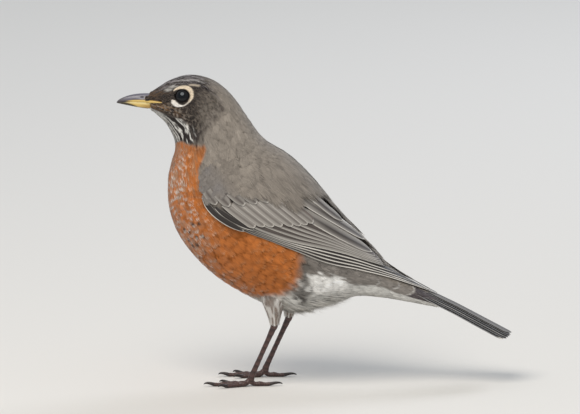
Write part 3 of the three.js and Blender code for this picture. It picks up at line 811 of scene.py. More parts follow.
def vane(
    sheet,
    outer,
    inner,
    height,
    rise=0.0,
    tip=0.2,
    point=1.0,
    length=50.0,
    base=0.6,
    look=None,
    rng=None,
    flip=False,
    cell=(0, 1),
):
    """One flight feather or covert: shaft, outer web (v < 0) and inner web, as a closed thin plate.

    It lies at height, and rise lower at its base. Its webs are outer and inner mm wide, by vane_outline. The
    shaft is a rounded rib 0.14 mm high, and the inner web droops 0.2 mm under the next feather. cell is its place
    in the piece's bake map. look holds its colours.
    """
    seed = rng.random(3) * 60
    own = 1 + rng.normal(0, 0.035)

    def points_at(u, v, under):
        shape = vane_outline(u, tip, point, base)
        frayed = 1 + 0.05 * (grain(u * length / 1.3 + seed[0], v + seed[1], 3) - 0.5) * (np.abs(v) > 0.8)
        y = np.where(v < 0, outer, inner) * shape * v * frayed
        ripple = 0.02 * np.sin(u * 7 + seed[2]) * v
        rib = 0.14 * (np.abs(v) < 0.05) * (1 - u)
        droop = np.where(v < 0, 0.02 * v**2, 0.2 * v)
        h = height - rise * (1 - ramp(u, 0, 0.4)) - droop + ripple + rib * (not under) - 0.06 * under
        return sheet(u, y, h)

    rim = look["rim_mm"] / outer
    across = np.array([-1, -1 + rim, -1 + 1.7 * rim, -0.52 + 0.8 * rim, -0.07, 0, 0.07, 0.35, 0.7, 0.92, 1])
    points, faces, u, v = vane_plate(points_at, 24 + int(0.5 * length), across)
    y_mm = np.where(v < 0, outer, inner) * vane_outline(u, tip, point, base) * v
    lines = np.stack([(u * length - 0.9 * np.abs(y_mm)) * BARB_RATE, y_mm * 0.02], -1)
    row = math.ceil(math.sqrt(cell[1]))
    corner = np.array([cell[0] % row, cell[0] // row])
    bake = (corner + 0.04 + 0.92 * np.stack([u, v / 2 + 0.5], -1)) / row
    return points, turned(faces, flip), lines, bake, vane_colours(u, v, length, look, rim, seed) * own


def vane_colours(u, v, length, look, rim, seed):
    """Grey outer web, dark inner web and shaft, pale rims and tip, in the shares of a look: see LOOKS."""
    web, quill, fringe = colour("wing") * look["web"], colour("quill") * look["dark"], colour("fringe")
    noise = grain(u * length / 2.5 + seed[0], v * 2 + seed[1])
    dark = ramp(v + 0.1 * (noise - 0.5), look["edge"] - 0.2, look["edge"] + 0.2)
    dark = np.maximum(dark, look["centre"] * (1 - ramp(np.abs(v + 0.1), 0.15, 0.75)) * ramp(u, 0.1, 0.5))
    col = mix(web + 0 * u[..., None], quill, dark)
    pale = (1 - ramp(v, -1 + rim, -1 + 1.7 * rim)) * look["rim"] + ramp(v, 0.9, 0.98) * look["rim"] * 0.5
    pale = pale * (1 - look.get("bare", 0) * (1 - ramp(u, 0.1, 0.4)))
    pale = pale * (0.75 + 0.5 * (grain(u * length / 6 + seed[0], v * 0, 2) - 0.5))
    end = ramp(u * length, length - look["tip_mm"] * 1.2, length - look["tip_mm"] * 0.3) * look["tip"]
    col = mix(col, fringe * 1.15, np.clip(np.maximum(pale, end), 0, 1))
    col = mix(col, quill * 0.6, (np.abs(v) < 0.08) * 0.55)
    return np.clip(col, 0, 1)


# Colours of each kind of feather: strength of the grey web and of the dark one, the place across (-1 to 1) where
# dark starts, how dark the middle is, and how strong and wide (mm) the pale rim and tip are. Where bare is given,
# the rim fades towards the base by that share.
LOOKS = {
    "primary": dict(web=0.22, dark=0.45, edge=-0.55, centre=0.3, rim=1.35, rim_mm=0.4, tip=0.45, tip_mm=1.0, bare=0.75),
    "secondary": dict(web=0.86, dark=1.5, edge=-0.2, centre=0.3, rim=0.5, rim_mm=0.3, tip=0.5, tip_mm=0.9),
    "tertial": dict(web=0.9, dark=1.0, edge=3.0, centre=0.9, rim=0.9, rim_mm=0.35, tip=1.0, tip_mm=1.1),
    "greater": dict(web=0.97, dark=2.2, edge=0.5, centre=0.2, rim=0.55, rim_mm=0.22, tip=0.8, tip_mm=0.7),
    "median": dict(web=0.88, dark=1.6, edge=0.8, centre=0.6, rim=0.15, rim_mm=0.25, tip=0.85, tip_mm=0.6),
    "alula": dict(web=0.22, dark=0.4, edge=-0.6, centre=0.7, rim=1.1, rim_mm=0.28, tip=0.4, tip_mm=0.6),
    "tail": dict(web=0.13, dark=0.35, edge=-0.5, centre=0.2, rim=0.1, rim_mm=0.3, tip=0.1, tip_mm=1.0),
}

# Edges of the folded wing as (stations, degrees from the back).
WING_LOW = (
    [8.5, 9.0, 9.34, 9.61, 9.87, 10.12, 10.41, 10.73, 11.21, 11.5, 12.0, 12.7, 13.64, 14.67, 15.69, 16.4, 17.3],
    [109, 108, 104, 98, 94, 92, 87, 82, 79, 76, 72, 65.5, 58, 44, 31, 23, 13],
)
PANEL_SPLIT = (
    [9.3, 10.3, 10.88, 11.85, 12.88, 13.68, 14.33, 15.35, 16.32, 17.3],
    [96, 83, 73, 56, 45, 36, 27, 18, 13, 8],
)
TERTIAL_LOW = ([9.5, 10.3, 10.75, 11.33, 11.98, 12.75, 13.05, 13.8], [72, 61, 55, 49, 43, 38, 30, 20])


def eased(s, table):
    """Interpolates a table of (stations, degrees) with its corners rounded off."""
    return np.mean([np.interp(s + shift, *table) for shift in np.linspace(-0.5, 0.5, 9)], axis=0)


def fan_path(low, top, share, start, tip, inset):
    """Shaft path from station start to tip, inset degrees above the line that lies share of the way from the low
    to the top border."""

    def path(u):
        s = start + (tip - start) * u
        edge = eased(s, low) * (1 - share) + eased(s, top) * share
        return s, edge - inset * np.interp(s, [9, 12, 15, 17.3], [0.8, 1, 1.6, 2.2])

    return path


def point_path(*points):
    """Shaft path through (station, degrees) points, as one polynomial for each."""
    t = np.linspace(0, 1, len(points))
    fits = [np.polyfit(t, np.array(points)[:, k], len(points) - 1) for k in (0, 1)]
    return lambda u: (np.polyval(fits[0], u), np.polyval(fits[1], u))


PRIMARY_TIPS = [17.1, 16.6, 15.5, 14.5, 13.9]
SECONDARY_TIPS = [13.8, 13.75, 13.65, 13.5, 13.3]
TERTIALS = [  # shaft points, half width below and above the shaft
    (((10.0, 53), (11.0, 45), (12.0, 36), (13.1, 24)), 3.2, 3.4),
    (((9.9, 44), (10.7, 36), (11.6, 26), (12.6, 13)), 3.1, 3.2),
    (((9.8, 35), (10.3, 31), (10.9, 27), (11.55, 21)), 2.9, 3.0),
]
GREATER_COVERTS = [  # start and tip of each shaft
    ((8.75, 95), (9.78, 88)),
    ((8.9, 88), (9.93, 82)),
    ((9.05, 82), (10.1, 77)),
    ((9.2, 76), (10.25, 72)),
    ((9.35, 70), (10.45, 66)),
    ((9.5, 64), (10.6, 61)),
    ((9.6, 60), (10.72, 56)),
    ((9.7, 56), (10.82, 51)),
]
MEDIAN_COVERTS = [
    ((7.85, 103), (8.64, 100)),
    ((8.1, 95), (8.93, 92)),
    ((8.3, 86), (9.18, 82)),
    ((8.5, 78), (9.37, 74)),
    ((8.7, 70), (9.56, 66)),
    ((8.85, 62), (9.74, 59)),
]
PANEL_FEATHERS = [  # alula and primary coverts: shaft points, half widths, height
    (((8.2, 108), (8.9, 106.5), (9.68, 96.5)), 1.1, 2.0, 2.3),
    (((8.6, 106), (9.15, 102), (9.64, 95)), 1.0, 1.8, 1.7),
    (((8.7, 103), (9.25, 98.5), (9.82, 90)), 1.0, 1.8, 1.85),
]


TAIL_PAIRS = 6
# What differs from the tail's look on the middle pair (0), the next ones and the outermost pair (5).
# The paler webs of the middle pair, on top of the tail, and a little of the pair next to it are a painted highlight.
TAIL_CHANGES = {
    # painted highlight: the top of the tail paler
    0: dict(web=0.42, dark=0.8, edge=3.0),
    1: dict(web=0.2),
    3: dict(rim=0.5),
    5: dict(rim=0.4, tip=1.0, tip_mm=3.5),
}


def flight_vanes(side, rng):
    """Primaries, secondaries and tertials: shafts fanned between the wing's edges, each a little higher than the
    one below it."""
    made, total = [], len(PRIMARY_TIPS) + len(SECONDARY_TIPS) + len(TERTIALS)

    def add(path, *sizes, **more):
        made.append(vane(wing_sheet(path, side), *sizes, rng=rng, flip=side > 0, cell=(len(made), total), **more))

    for k, tip in enumerate(PRIMARY_TIPS):
        path = fan_path(WING_LOW, PANEL_SPLIT, k / 4.3, 9.2, tip, 3.0)
        add(path, 1.5, 3.6, 0.75 + 0.17 * k, tip=0.24, point=0.35, length=80, look=LOOKS["primary"])
    for k, tip in enumerate(SECONDARY_TIPS):
        path = fan_path(PANEL_SPLIT, TERTIAL_LOW, k / 5, 9.7, tip, 2.9)
        add(path, 1.5, 4.2, 1.72 + 0.14 * k, tip=0.12, point=0.9, length=50, look=LOOKS["secondary"])
    for k, (points, outer, inner) in enumerate(TERTIALS):
        sizes = outer, inner, 2.5 + 0.2 * k, 0.8
        add(point_path(*points), *sizes, tip=0.22, point=0.8, length=35, look=LOOKS["tertial"])
    return join(*made)


def wing_bed(side):
    """The fleshy front of the folded wing under its small coverts: a flat closed cushion that sinks into the
    trunk all round. Its height is -1.6 + 3.4 sqrt(distance from its border) in mm, 0.9 lower under the long
    coverts and 1.0 lower under the shoulder, and it is 0.8 thick."""

    def points_at(u, v, under):
        s = 7.35 + 2.8 * u
        low = np.interp(s, [7.35, 7.5, 8.5, 9.0, 9.6, 10.2], [103, 107, 109, 107, 97, 88])
        angle = 60 + (low - 60) * v
        inset = np.minimum.reduce([u * 3, (1 - u) * 4, v * 4, (1 - v) * 7, 1 + 0 * u])
        height = -1.6 + 3.4 * np.sqrt(np.clip(inset, 0, 1)) - 0.9 * ramp(s, 8.55, 8.9) - 0.8 * under
        height = height - 1.0 * (1 - ramp(angle, 72, 86))
        return surface(s, side * np.radians(angle), height)[0]

    points, faces, u, v = vane_plate(points_at, 40, np.linspace(0, 1, 40))
    # painted shade: a darker copy of the back's grey, and much darker still towards the rear under the long coverts
    tint = mix(colour("back") * 0.9 + 0 * u[:, None], colour("quill") * 0.5, ramp(u, 0.45, 0.6))
    return points, turned(faces, side < 0), np.zeros((len(u), 2)), np.stack([u, v], -1) * 0.1, tint


def covert_vanes(side, rng):
    """The wing's bed with alula, primary coverts, greater and median coverts on it: straight or bent shafts
    between given points, each row over the next."""
    made, total = [wing_bed(side)], len(GREATER_COVERTS) + len(MEDIAN_COVERTS) + len(PANEL_FEATHERS) + 1

    def add(points, *sizes, **more):
        sheet = wing_sheet(point_path(*points), side)
        made.append(vane(sheet, *sizes, rng=rng, flip=side > 0, cell=(len(made), total), **more))

    for points, outer, inner, height in PANEL_FEATHERS:
        add(points, outer, inner, height, tip=0.3, point=0.8, length=14, look=LOOKS["alula"])
    for k, points in enumerate(GREATER_COVERTS):
        add(points, 1.9, 3.0, 2.2 + 0.09 * k, 0.2, base=0.9, length=15, look=LOOKS["greater"])
    for k, points in enumerate(MEDIAN_COVERTS):
        add(points, 2.3, 3.0, 2.6 + 0.06 * k, 2.4, tip=0.4, length=10, look=LOOKS["median"])
    return join(*made)


def tail_vanes(rng):
    """Twelve tail feathers, the middle pair on top and broad, each next pair 0.32 mm lower and further out."""
    made = []
    for k in reversed(range(TAIL_PAIRS)):
        middle = k == 0
        base, end = (0.6, 1.0) if middle else (3.4 + 1.3 * k, 5.2 + 1.62 * (k - 1))
        outer, inner = (5.2, 1.6) if middle else (2.0, 5.2)
        reach = 44.5 - 3.0 * (end / 12) ** 3 - 0.4 * (k == TAIL_PAIRS - 1)
        look = dict(LOOKS["tail"], **TAIL_CHANGES.get(k, {}))
        for side in (-1, 1):
            sheet = tail_sheet(side, reach, base, end)
            height = -0.32 * k - 0.05 * (side > 0)
            sizes = dict(tip=0.12 if middle else 0.09, point=0.9, length=56)
            more = dict(look=look, rng=rng, flip=side > 0, cell=(len(made), 2 * TAIL_PAIRS))
            made.append(vane(sheet, outer, inner, height, **sizes, **more))
    return join(*made)


def add_vanes(name, made, slot_name, *nodes):
    """One piece of joined vanes."""
    points, faces, lines, bake, tint = made
    smooth = [k % 3 < 2 for k in range(len(faces))]  # top and underside, but not the thin rim
    piece = mesh_piece(name, points, faces, {"Vane": lines, "OFBake": bake}, tint, smooth)
    place(piece, finish("Feather vane", feather_vane), slot_name, *nodes)


# ------------------------------------------------------------------ skin, eyes, bill

EYE_CENTRE, EYE_RADIUS = np.array([-68.0, 6.5, 150.5]), 5.2
EYE_AXIS = np.array([-0.22, 0.89, 0.40])  # looks outwards, a little forwards and up
EYE_OPENING = (3.6, 3.05)  # half length and half height, mm


def eye_frame(points, side):
    """Places of points along the eye's length, up its height and out along its axis. side is each point's side."""
    mirror = np.stack([np.ones_like(side), side, np.ones_like(side)], -1)
    local = points * mirror - EYE_CENTRE
    out = unit(EYE_AXIS)
    length = unit(np.cross(out, [0, 0, 1.0]))
    return dot(local, length), dot(local, np.cross(length, out)), dot(local, out), mirror * out


def eye_far(points, side):
    """How far points lie from the eye's axis, in shares of the opening."""
    length, height, _, _ = eye_frame(points, side)
    return np.hypot(length / EYE_OPENING[0], height / EYE_OPENING[1])


def skin_grid(stations, angles):
    """Skin points: the plumage surface let in by the coat's depth, with a hollow for each eye. Within 1.5 times
    the eye's opening the skin follows a ball 0.3 mm over the eye, and its rolled edge sinks at the opening."""
    s, a = np.meshgrid(stations, angles, indexing="ij")
    sizes = bpy.context.scene.robin_sizes
    depth = sizes.head_coat / MM + (sizes.body_coat - sizes.head_coat) / MM * ramp(s, 4, 7)
    points = surface(s, a, -depth)[0]
    side = np.where(np.sin(a) < 0, -1.0, 1.0)
    length, height, out, axis = eye_frame(points, side)
    far = np.hypot(length / EYE_OPENING[0], height / EYE_OPENING[1])
    ball = np.sqrt(np.clip((EYE_RADIUS + 0.3) ** 2 - length**2 - height**2, 0, None))
    rolled = 0.5 + (ball - 0.5) * ramp(far, 0.88, 1.02)
    share = (1 - ramp(far, 1.14, 1.5)) * (s < 4.5) * (out > 0)
    return points + axis * ((rolled - out) * share)[..., None], s, a, far


def closed_rings(points):
    """Rings joined into a tube, with each end closed by a point in its middle. Returns points and faces."""
    rows, sides = points.shape[:2]
    index = np.arange(rows * sides).reshape(rows, sides)
    right = np.roll(index, -1, axis=1)
    quads = np.stack([index[:-1], index[1:], right[1:], right[:-1]], -1).reshape(-1, 4)
    hubs = rows * sides + np.arange(2)
    caps = [
        np.stack([index[0], right[0], np.full(sides, hubs[0])], -1),
        np.stack([right[-1], index[-1], np.full(sides, hubs[1])], -1),
    ]
    points = np.concatenate([points.reshape(-1, 3), points[[0, -1]].mean(1)])
    return points, [quads, np.concatenate(caps)]


def ring_tints(tint):
    """Colours of closed_rings' points, from one for each ring and side: its two ends take their ring's first."""
    return np.concatenate([tint.reshape(-1, 3), tint[[0, -1], 0]])


def sweep(path, radii, sides=20, flat_floor=True):
    """A round limb along a path, kept above the floor. radii is one radius a ring, or one a ring and side. Each
    ring is path + radius (sideways cos turn + upwards sin turn)."""
    path, radii = np.asarray(path, float), np.asarray(radii, float)
    tangent = unit(np.gradient(path, axis=0))
    level = np.where(np.abs(tangent[:, 2:]) < 0.8, [[0, 0, 1.0]], [[0, 1.0, 0]])
    sideways = unit(np.cross(tangent, level))
    upwards = np.cross(sideways, tangent)
    turn = 2 * np.pi * (np.arange(sides) + 0.5) / sides
    if radii.ndim == 1:
        radii = radii[:, None]
    ring = sideways[:, None] * np.cos(turn)[:, None] + upwards[:, None] * np.sin(turn)[:, None]
    points = path[:, None] + ring * (radii * np.ones(sides))[..., None]
    if flat_floor:
        points[..., 2] = np.maximum(points[..., 2], 0.0)
    return closed_rings(points)


LEGS = [  # side, hip, ankle, ball of the foot (mm, y without the side's sign)
    (-1, (-21.5, 13, 50), (-20.8, 13.5, 31.8), (-33.6, 14.4, 3.1)),
    (1, (-12, 13, 50), (-13.2, 13.5, 31.8), (-26.2, 14.4, 3.1)),
]


def thigh_path(side, hip, ankle, shares):
    """Middle line of a thigh: straight from the hip (share 0) to 2.4 mm above the ankle (1)."""
    top, low = np.array(hip, float), np.array(ankle, float)
    top[1], low[1] = side * top[1], side * low[1]
    low[2] += 2.4
    return top + (low - top) * np.asarray(shares)[:, None]


def bird_skin(tree):
    """Dried skin under the feathers, with the plumage's own markings a little darker as painted shade: matt, so that
    gaps don't glint.
    """
    paint = node(tree, "ShaderNodeAttribute", attribute_name="Markings")
    links = {"Base Color": paint.outputs["Color"]}
    return node(tree, "ShaderNodeBsdfPrincipled", links, Roughness=0.85, Specular_IOR_Level=0.2)


def build_skin():
    """Trunk and head in one closed surface, finest about the eyes, and a tapered round stump for each thigh."""
    stations = np.concatenate([np.arange(0, 2.3, 0.09), np.arange(2.3, 3.75, 0.03), np.arange(3.75, LAST + 0.01, 0.1)])
    low, high = np.radians([44, 94])
    half = np.concatenate([np.linspace(0, low, 24)[:-1], np.linspace(low, high, 80), np.linspace(high, np.pi, 40)[1:]])
    points, s, a, far = skin_grid(stations, np.concatenate([half, -half[-2:0:-1]]))
    # painted shade: the skin takes the plumage's markings 5% darker, as it lies under the feathers
    tint = markings(s, np.degrees(np.abs(a))) * 0.95
    tint = mix(tint, shade("#120e0d"), (1 - ramp(far, 1.12, 1.26)) * (s < 4.5))
    made = [(*closed_rings(points), ring_tints(tint))]
    for side, hip, ankle, _ in LEGS:
        shares = np.linspace(-0.2, 1, 12)
        radii = np.interp(shares, [-0.2, 0, 0.33, 0.67, 1], [6.0, 5.8, 4.6, 2.9, 1.6])
        thigh, faces = sweep(thigh_path(side, hip, ankle, shares), radii, 20, False)
        made.append((thigh, faces, np.tile(shade("#a39d94"), (len(thigh), 1))))
    points, faces, tint = join(*made)
    piece = mesh_piece("skin", points, faces, None, tint)
    flesh = ("head", "neck", "breast", "belly", "rump", "left_thigh", "right_thigh")
    place(piece, finish("Bird skin", bird_skin), "head_feathers", *flesh)


def cornea(tree):
    """Wet cornea over a near-black brown iris: it gives one sharp, bright window of light, a little blue."""
    paint = node(tree, "ShaderNodeAttribute", attribute_name="Markings")
    return node(
        tree,
        "ShaderNodeBsdfPrincipled",
        {"Base Color": paint.outputs["Color"]},
        Roughness=0.04,
        Specular_IOR_Level=0.36,
        Specular_Tint=(0.8, 0.9, 1.0, 1.0),
    )


def build_eye(side):
    """A ball about the eye's axis, its cornea swollen by 0.2 mm, with iris and pupil painted. A point is the centre
    + radius (ring sin polar + axis cos polar), with the ring at right angles to the axis."""
    polar, turn = np.meshgrid(np.linspace(0.02, np.pi - 0.02, 48), np.linspace(0, 2 * np.pi, 65)[:-1], indexing="ij")
    radius = EYE_RADIUS + 0.2 * (1 - ramp(polar, 0.3, 0.75))
    out = unit(EYE_AXIS)
    length = unit(np.cross(out, [0, 0, 1.0]))
    ring = length * np.cos(turn)[..., None] + np.cross(length, out) * np.sin(turn)[..., None]
    points = EYE_CENTRE + radius[..., None] * (ring * np.sin(polar)[..., None] + out * np.cos(polar)[..., None])
    points, faces = closed_rings(points * [1, side, 1])
    iris = mix(shade("#0d0907") + 0 * polar[..., None], shade("#160f0c"), grain(turn * 9, polar * 6))
    iris = mix(iris, shade("#090605"), ramp(polar, 0.5, 0.62))
    tint = ring_tints(mix(iris, shade("#050505"), 1 - ramp(polar, 0.36, 0.4)))
    piece = mesh_piece(f"{side_name(side)}_eye_ball", points, turned(faces, side < 0), None, tint)
    place(piece, finish("Cornea over brown iris", cornea), "eye", f"{side_name(side)}_eye")


BILL_BASE, BILL_TIP, GAPE_Z = -86.9, (-102.9, 147.0), 147.7
HORN_CELLS, SCALE_CELLS = 1800.0, 1500.0  # cells of the patterns in a metre


def mandible(ridge_z, half_width, side, power, roundness):
    """Half of the bill: half ovals between the gape line and the ridge or keel, from inside the face to the tip.

    The depth falls off as (1 - t^power)^roundness and the width as (1 - t)^0.8, t from base to tip. On the upper
    half a groove and in it a nostril are sunk into each side. Returns points, faces, and at each point how high
    it is on the half, how far along and how far down in the nostril, for the nostril's painted shade.
    """
    t = np.concatenate([[-0.12, -0.06], 1 - (1 - np.linspace(0, 1, 60)) ** 1.25])
    t, turn = np.meshgrid(t, np.linspace(0, np.pi, 41), indexing="ij")
    degrees = np.degrees(turn)
    inside = np.clip(t, 0, 1)
    gape = GAPE_Z + (BILL_TIP[1] - GAPE_Z) * inside**2 + 0.14 * np.sin(np.pi * inside) + side * 0.06
    depth = (ridge_z - GAPE_Z) * (1 - inside**power) ** roundness + side * 0.12
    width = half_width * (1 - inside) ** 0.8 + 0.14
    ridge = np.sin(turn)
    squared = np.sign(np.cos(turn)) * np.abs(np.cos(turn)) ** 0.88
    groove = 0.16 * sum(spot(t, degrees, (0.2, at), (0.13, 10)) for at in (38, 142))
    nostril = 0.5 * sum(spot(t, degrees, (0.17, at), (0.045, 7)) for at in (36, 144))
    sunk = (groove + nostril) * (side > 0)
    x = BILL_BASE + (BILL_TIP[0] - BILL_BASE) * t
    y = (width - sunk) * squared
    z = gape + depth * ridge**0.95 * (1 - 0.05 * sunk)
    floor = np.stack([x, y * 0.97, gape + 0 * y], -1)[:, -2:0:-1]
    flat = 0 * floor[..., 0]
    height = np.concatenate([ridge, flat], 1)
    along = np.concatenate([t, t[:, -2:0:-1]], 1)
    nostril_shade = np.concatenate([nostril * (side > 0), flat], 1)
    points, faces = closed_rings(np.concatenate([np.stack([x, y, z], -1), floor], 1))
    return points, turned(faces, side > 0), height, along, nostril_shade


def gape_strip(angle, drop, radius, side):
    """The fleshy corner of the mouth: a thin roll on the side of the face, back from the bill's base and down by
    drop degrees. Its radius falls off as sqrt(1 - t^2) (1 - 0.4 t)."""
    t = np.linspace(0, 1, 24)
    points = surface(-0.3 + 1.75 * t, side * np.radians(angle + drop * t), -0.15 - 0.3 * t**2)[0]
    return sweep(points, radius * np.sqrt(1 - t**2) * (1 - 0.4 * t) + 0.05, 12, False)


def horn(tree, roughness):
    """Smooth horn, a soft, waxy shine. Its fine grain is drawn coarse, with cells of 0.56 mm, so that it shows."""
    paint = node(tree, "ShaderNodeAttribute", attribute_name="Markings")
    place_at = node(tree, "ShaderNodeTexCoord")
    fine = node(tree, "ShaderNodeTexNoise", {"Vector": place_at.outputs["Object"]}, Scale=HORN_CELLS, Detail=3.0)
    bump = node(tree, "ShaderNodeBump", {"Height": fine.outputs[0]}, Strength=0.12, Distance=0.1 * MM)
    links = {"Base Color": paint.outputs["Color"], "Normal": bump.outputs[0]}
    return node(tree, "ShaderNodeBsdfPrincipled", links, Roughness=roughness)


def build_bill():
    """Both halves of the bill, each with its share of the corners of the mouth."""
    yellow = colour("bill")

    def half_piece(name, points, faces, tint, strip, strip_tint):
        made = [(points, faces, ring_tints(tint))]
        for side in (-1, 1):
            points, faces = gape_strip(*strip, side)
            made.append((points, faces, np.tile(strip_tint, (len(points), 1))))
        points, faces, tint = join(*made)
        piece = mesh_piece(f"{name}_horn", points, faces, None, tint)
        place(piece, finish("Bill horn", lambda tree: horn(tree, 0.32)), name, name)

    points, faces, height, t, nostril_shade = mandible(151.7, 3.5, 1, 2, 0.6)
    streak = ramp(grain(t * 5, height * 7), 0.3, 0.7)
    tint = mix(shade("#6e6b76") + 0 * t[..., None], shade("#605d68") * 0.9, streak)
    tint = mix(tint, shade("#4b4547"), ramp(t, 0.55, 1.0) * 0.9)
    tint = mix(tint, shade("#3a3436"), ramp(height, 0.35, 0.18) * 0.85 * ramp(t, 0.1, 0.35))
    tint = mix(tint, yellow, (1 - ramp(height, 0.16, 0.3)) * (1 - ramp(t, 0.45, 0.75)))
    tint = mix(tint, shade("#c9a45c"), (1 - ramp(t, -0.02, 0.12)) * (1 - ramp(height, 0.5, 0.8)) * 0.5)
    # painted shade: the nostril's opening darkened
    tint = mix(tint, shade("#3c3639"), np.clip(nostril_shade * 2.2, 0, 1))
    half_piece("bill_upper", points, faces, tint, (78.5, 9, 0.42), yellow * [0.62, 0.52, 0.45])

    points, faces, height, t, _ = mandible(144.1, 3.2, -1, 1.5, 1.0)
    # painted highlight: the upper part of each side of the lower mandible paler cream
    tint = mix(yellow + 0 * t[..., None], shade("#efdfa6"), ramp(0.4 - height, -0.1, 0.35) * 0.8)
    tint = mix(tint, shade("#a8773a"), (1 - ramp(t, 0, 0.3)) * ramp(height, 0.2, 0.55) * 0.55)
    # the bill's dark tip, and along the keel a painted shade on the underside
    dark = np.maximum(ramp(t + 0.5 * height, 0.62, 0.85), 0.7 * ramp(height, 0.72, 0.92))
    tint = mix(tint, shade("#1f1b1a"), dark * 0.95)
    half_piece("bill_lower", points, faces, tint, (85.5, 3.5, 0.78), yellow * 0.8)


# ------------------------------------------------------------------ legs

TOES = [  # name, heading outwards from straight ahead (degrees), length, radius, claw's length (mm), joints
    ("inner", -24, 13, 1.35, 4.6, 3),
    ("middle", 2, 19, 1.4, 5.2, 4),
    ("outer", 27, 14, 1.3, 4.6, 4),
    ("hind", 182, 10.5, 1.4, 6.6, 2),
]
LEG_TURN = 2 * np.pi * (np.arange(24) + 0.5) / 24  # where a leg's 24 sides are


def scaly_skin(tree):
    """Horny leg plates with a dull shine. Their small scales are drawn coarse, with cells of 0.67 mm."""
    paint = node(tree, "ShaderNodeAttribute", attribute_name="Markings")
    place_at = node(tree, "ShaderNodeTexCoord")
    cells = node(tree, "ShaderNodeTexVoronoi", {"Vector": place_at.outputs["Object"]}, Scale=SCALE_CELLS)
    bump = node(tree, "ShaderNodeBump", {"Height": cells.outputs["Distance"]}, Strength=0.25, Distance=0.1 * MM)
    links = {"Base Color": paint.outputs["Color"], "Normal": bump.outputs[0]}
    return node(tree, "ShaderNodeBsdfPrincipled", links, Roughness=0.42)


def scutes(t, count, front):
    """Overlapping plates along a limb: each swells towards its lower edge and then steps in. 0 to 1."""
    share = (t * count) % 1
    return share**1.5 * (1 - ramp(share, 0.9, 1.0)) * front


def scaly_limb(path, radii, plates):
    """A limb along a path with its plates painted, darker in the seams: points, faces and colours."""
    legs = colour("legs")
    points, faces = sweep(path, radii, len(LEG_TURN))
    tint = mix(legs * 1.25 + 0 * plates[..., None], legs * 0.55, 1 - ramp(plates, 0.0, 0.35))
    return points, faces, ring_tints(tint)


def toe_limb(start, ahead, height, length, radius, joints):
    """A toe on the ground. Its girth is radius (1 - 0.3 t) (1 + 0.09 cos(2 pi joints t)), t from foot to claw, and
    its end is rounded. It comes down to the ground from height, the ball of the foot's, in a third of its length."""
    t = np.linspace(0, 1, 70)
    blunt = np.sqrt(1.0 - ((t - 0.94) / 0.06).clip(0, 1) ** 2 * 0.6)
    girth = radius * (1 - 0.3 * t) * (1 + 0.09 * np.cos(2 * np.pi * joints * t)) * blunt
    path = start + ahead * (length * t)[:, None]
    path[:, 2] = 0.75 * girth + (height - radius) * (1 - np.minimum(1, t * 3)) ** 2
    plates = scutes(t[:, None], 4 * joints, (0.25 + 0.75 * ramp(np.sin(LEG_TURN), 0.0, 0.5))[None])
    return scaly_limb(path, girth[:, None] * (1 + 0.1 * plates), plates)


def claw_horn(start, ahead, length, claw):
    """An arched claw at a toe's end, 0.95 + sin(2.6 t) - 0.62 t mm high, t from its root to its tip. Its radius
    falls off as (1 - t)^0.8. Returns points, faces and colours."""
    t, sides = np.linspace(-0.12, 1, 30), 16
    path = start + ahead * (length + claw * np.sin(1.35 * t))[:, None]
    path[:, 2] = 0.95 + np.sin(2.6 * t) - 0.62 * t
    points, faces = sweep(path, 0.85 * (1 - np.clip(t, 0, 1)) ** 0.8 + 0.1, sides)
    share = np.concatenate([np.repeat(t, sides), [0, 1]])[:, None]
    return points, faces, shade("#2c2220") * (1 - share) + shade("#15110f") * share


def build_leg(side, ankle, ball):
    """A leg below its feathers: the tarsus from ankle to ball of the foot, then the foot, its toes and claws."""
    name, scales = side_name(side), finish("Leg scales", scaly_skin)
    ankle, ball = (np.array([p[0], side * p[1], p[2]], float) for p in (ankle, ball))
    down = unit(ball - ankle)
    top, low = ankle - down * 1.5, ball - down * 1.6

    t = np.linspace(0, 1, 110)
    front = 0.35 + 0.65 * ramp(np.cos(LEG_TURN), -0.2, 0.5)
    plates = scutes(t[:, None], 9, front[None])
    girth = np.interp(t, [0, 0.05, 0.12, 0.3, 0.6, 0.88, 1], [1.3, 1.85, 1.6, 1.3, 1.22, 1.38, 1.6])
    path = top + (low - top) * t[:, None]
    points, faces, tint = scaly_limb(path, girth[:, None] * (1 + 0.09 * plates), plates)
    place(mesh_piece(f"{name}_tarsus", points, faces, None, tint), scales, "leg_scales", f"{name}_shank")

    t = np.linspace(0, 1, 20)
    path = low - down * 0.5 + (np.array([ball[0], ball[1], 1.2]) - low + down * 0.5) * t[:, None]
    plates = scutes(t[:, None], 2, 0.4 + 0 * LEG_TURN[None])
    made = [scaly_limb(path, 1.62 + 0.15 * np.sin(np.pi * t)[:, None] + 0.1 * plates, plates)]
    start = np.array([ball[0], ball[1], 0])
    for toe, heading, length, radius, claw, joints in TOES:
        angle = math.radians(heading)
        ahead = np.array([-math.cos(angle), side * math.sin(angle), 0])
        made.append(toe_limb(start, ahead, ball[2], length, radius, joints))
        points, faces, tint = claw_horn(start, ahead, length, claw)
        piece = mesh_piece(f"{name}_{toe}_claw_horn", points, faces, None, tint)
        place(piece, finish("Claw horn", lambda tree: horn(tree, 0.3)), "claw", f"{name}_claw_{toe}")
    points, faces, tint = join(*made)
    place(mesh_piece(f"{name}_toes", points, faces, None, tint), scales, "leg_scales", f"{name}_foot")


# ------------------------------------------------------------------ coats


def under_wing(s, angle):
    """Where the folded wing hides the trunk: no feathers grow there."""
    low = np.interp(s, [7.5, 8.5], [110, 109]) * (s < 8.5) + np.interp(s, *WING_LOW) * (s >= 8.5)
    stations = [7.5, 8.2, 8.5, 9.0, 9.4, 9.85, 9.9, 11, 12.6, 13.4, 15, 16]
    top = np.interp(s, stations, [79, 79, 77, 66, 58, 52, 7, 5, 5, 12, 22, 24])
    return (s > 7.6) & (s < 16) & (angle < low - 12) & (angle > top)


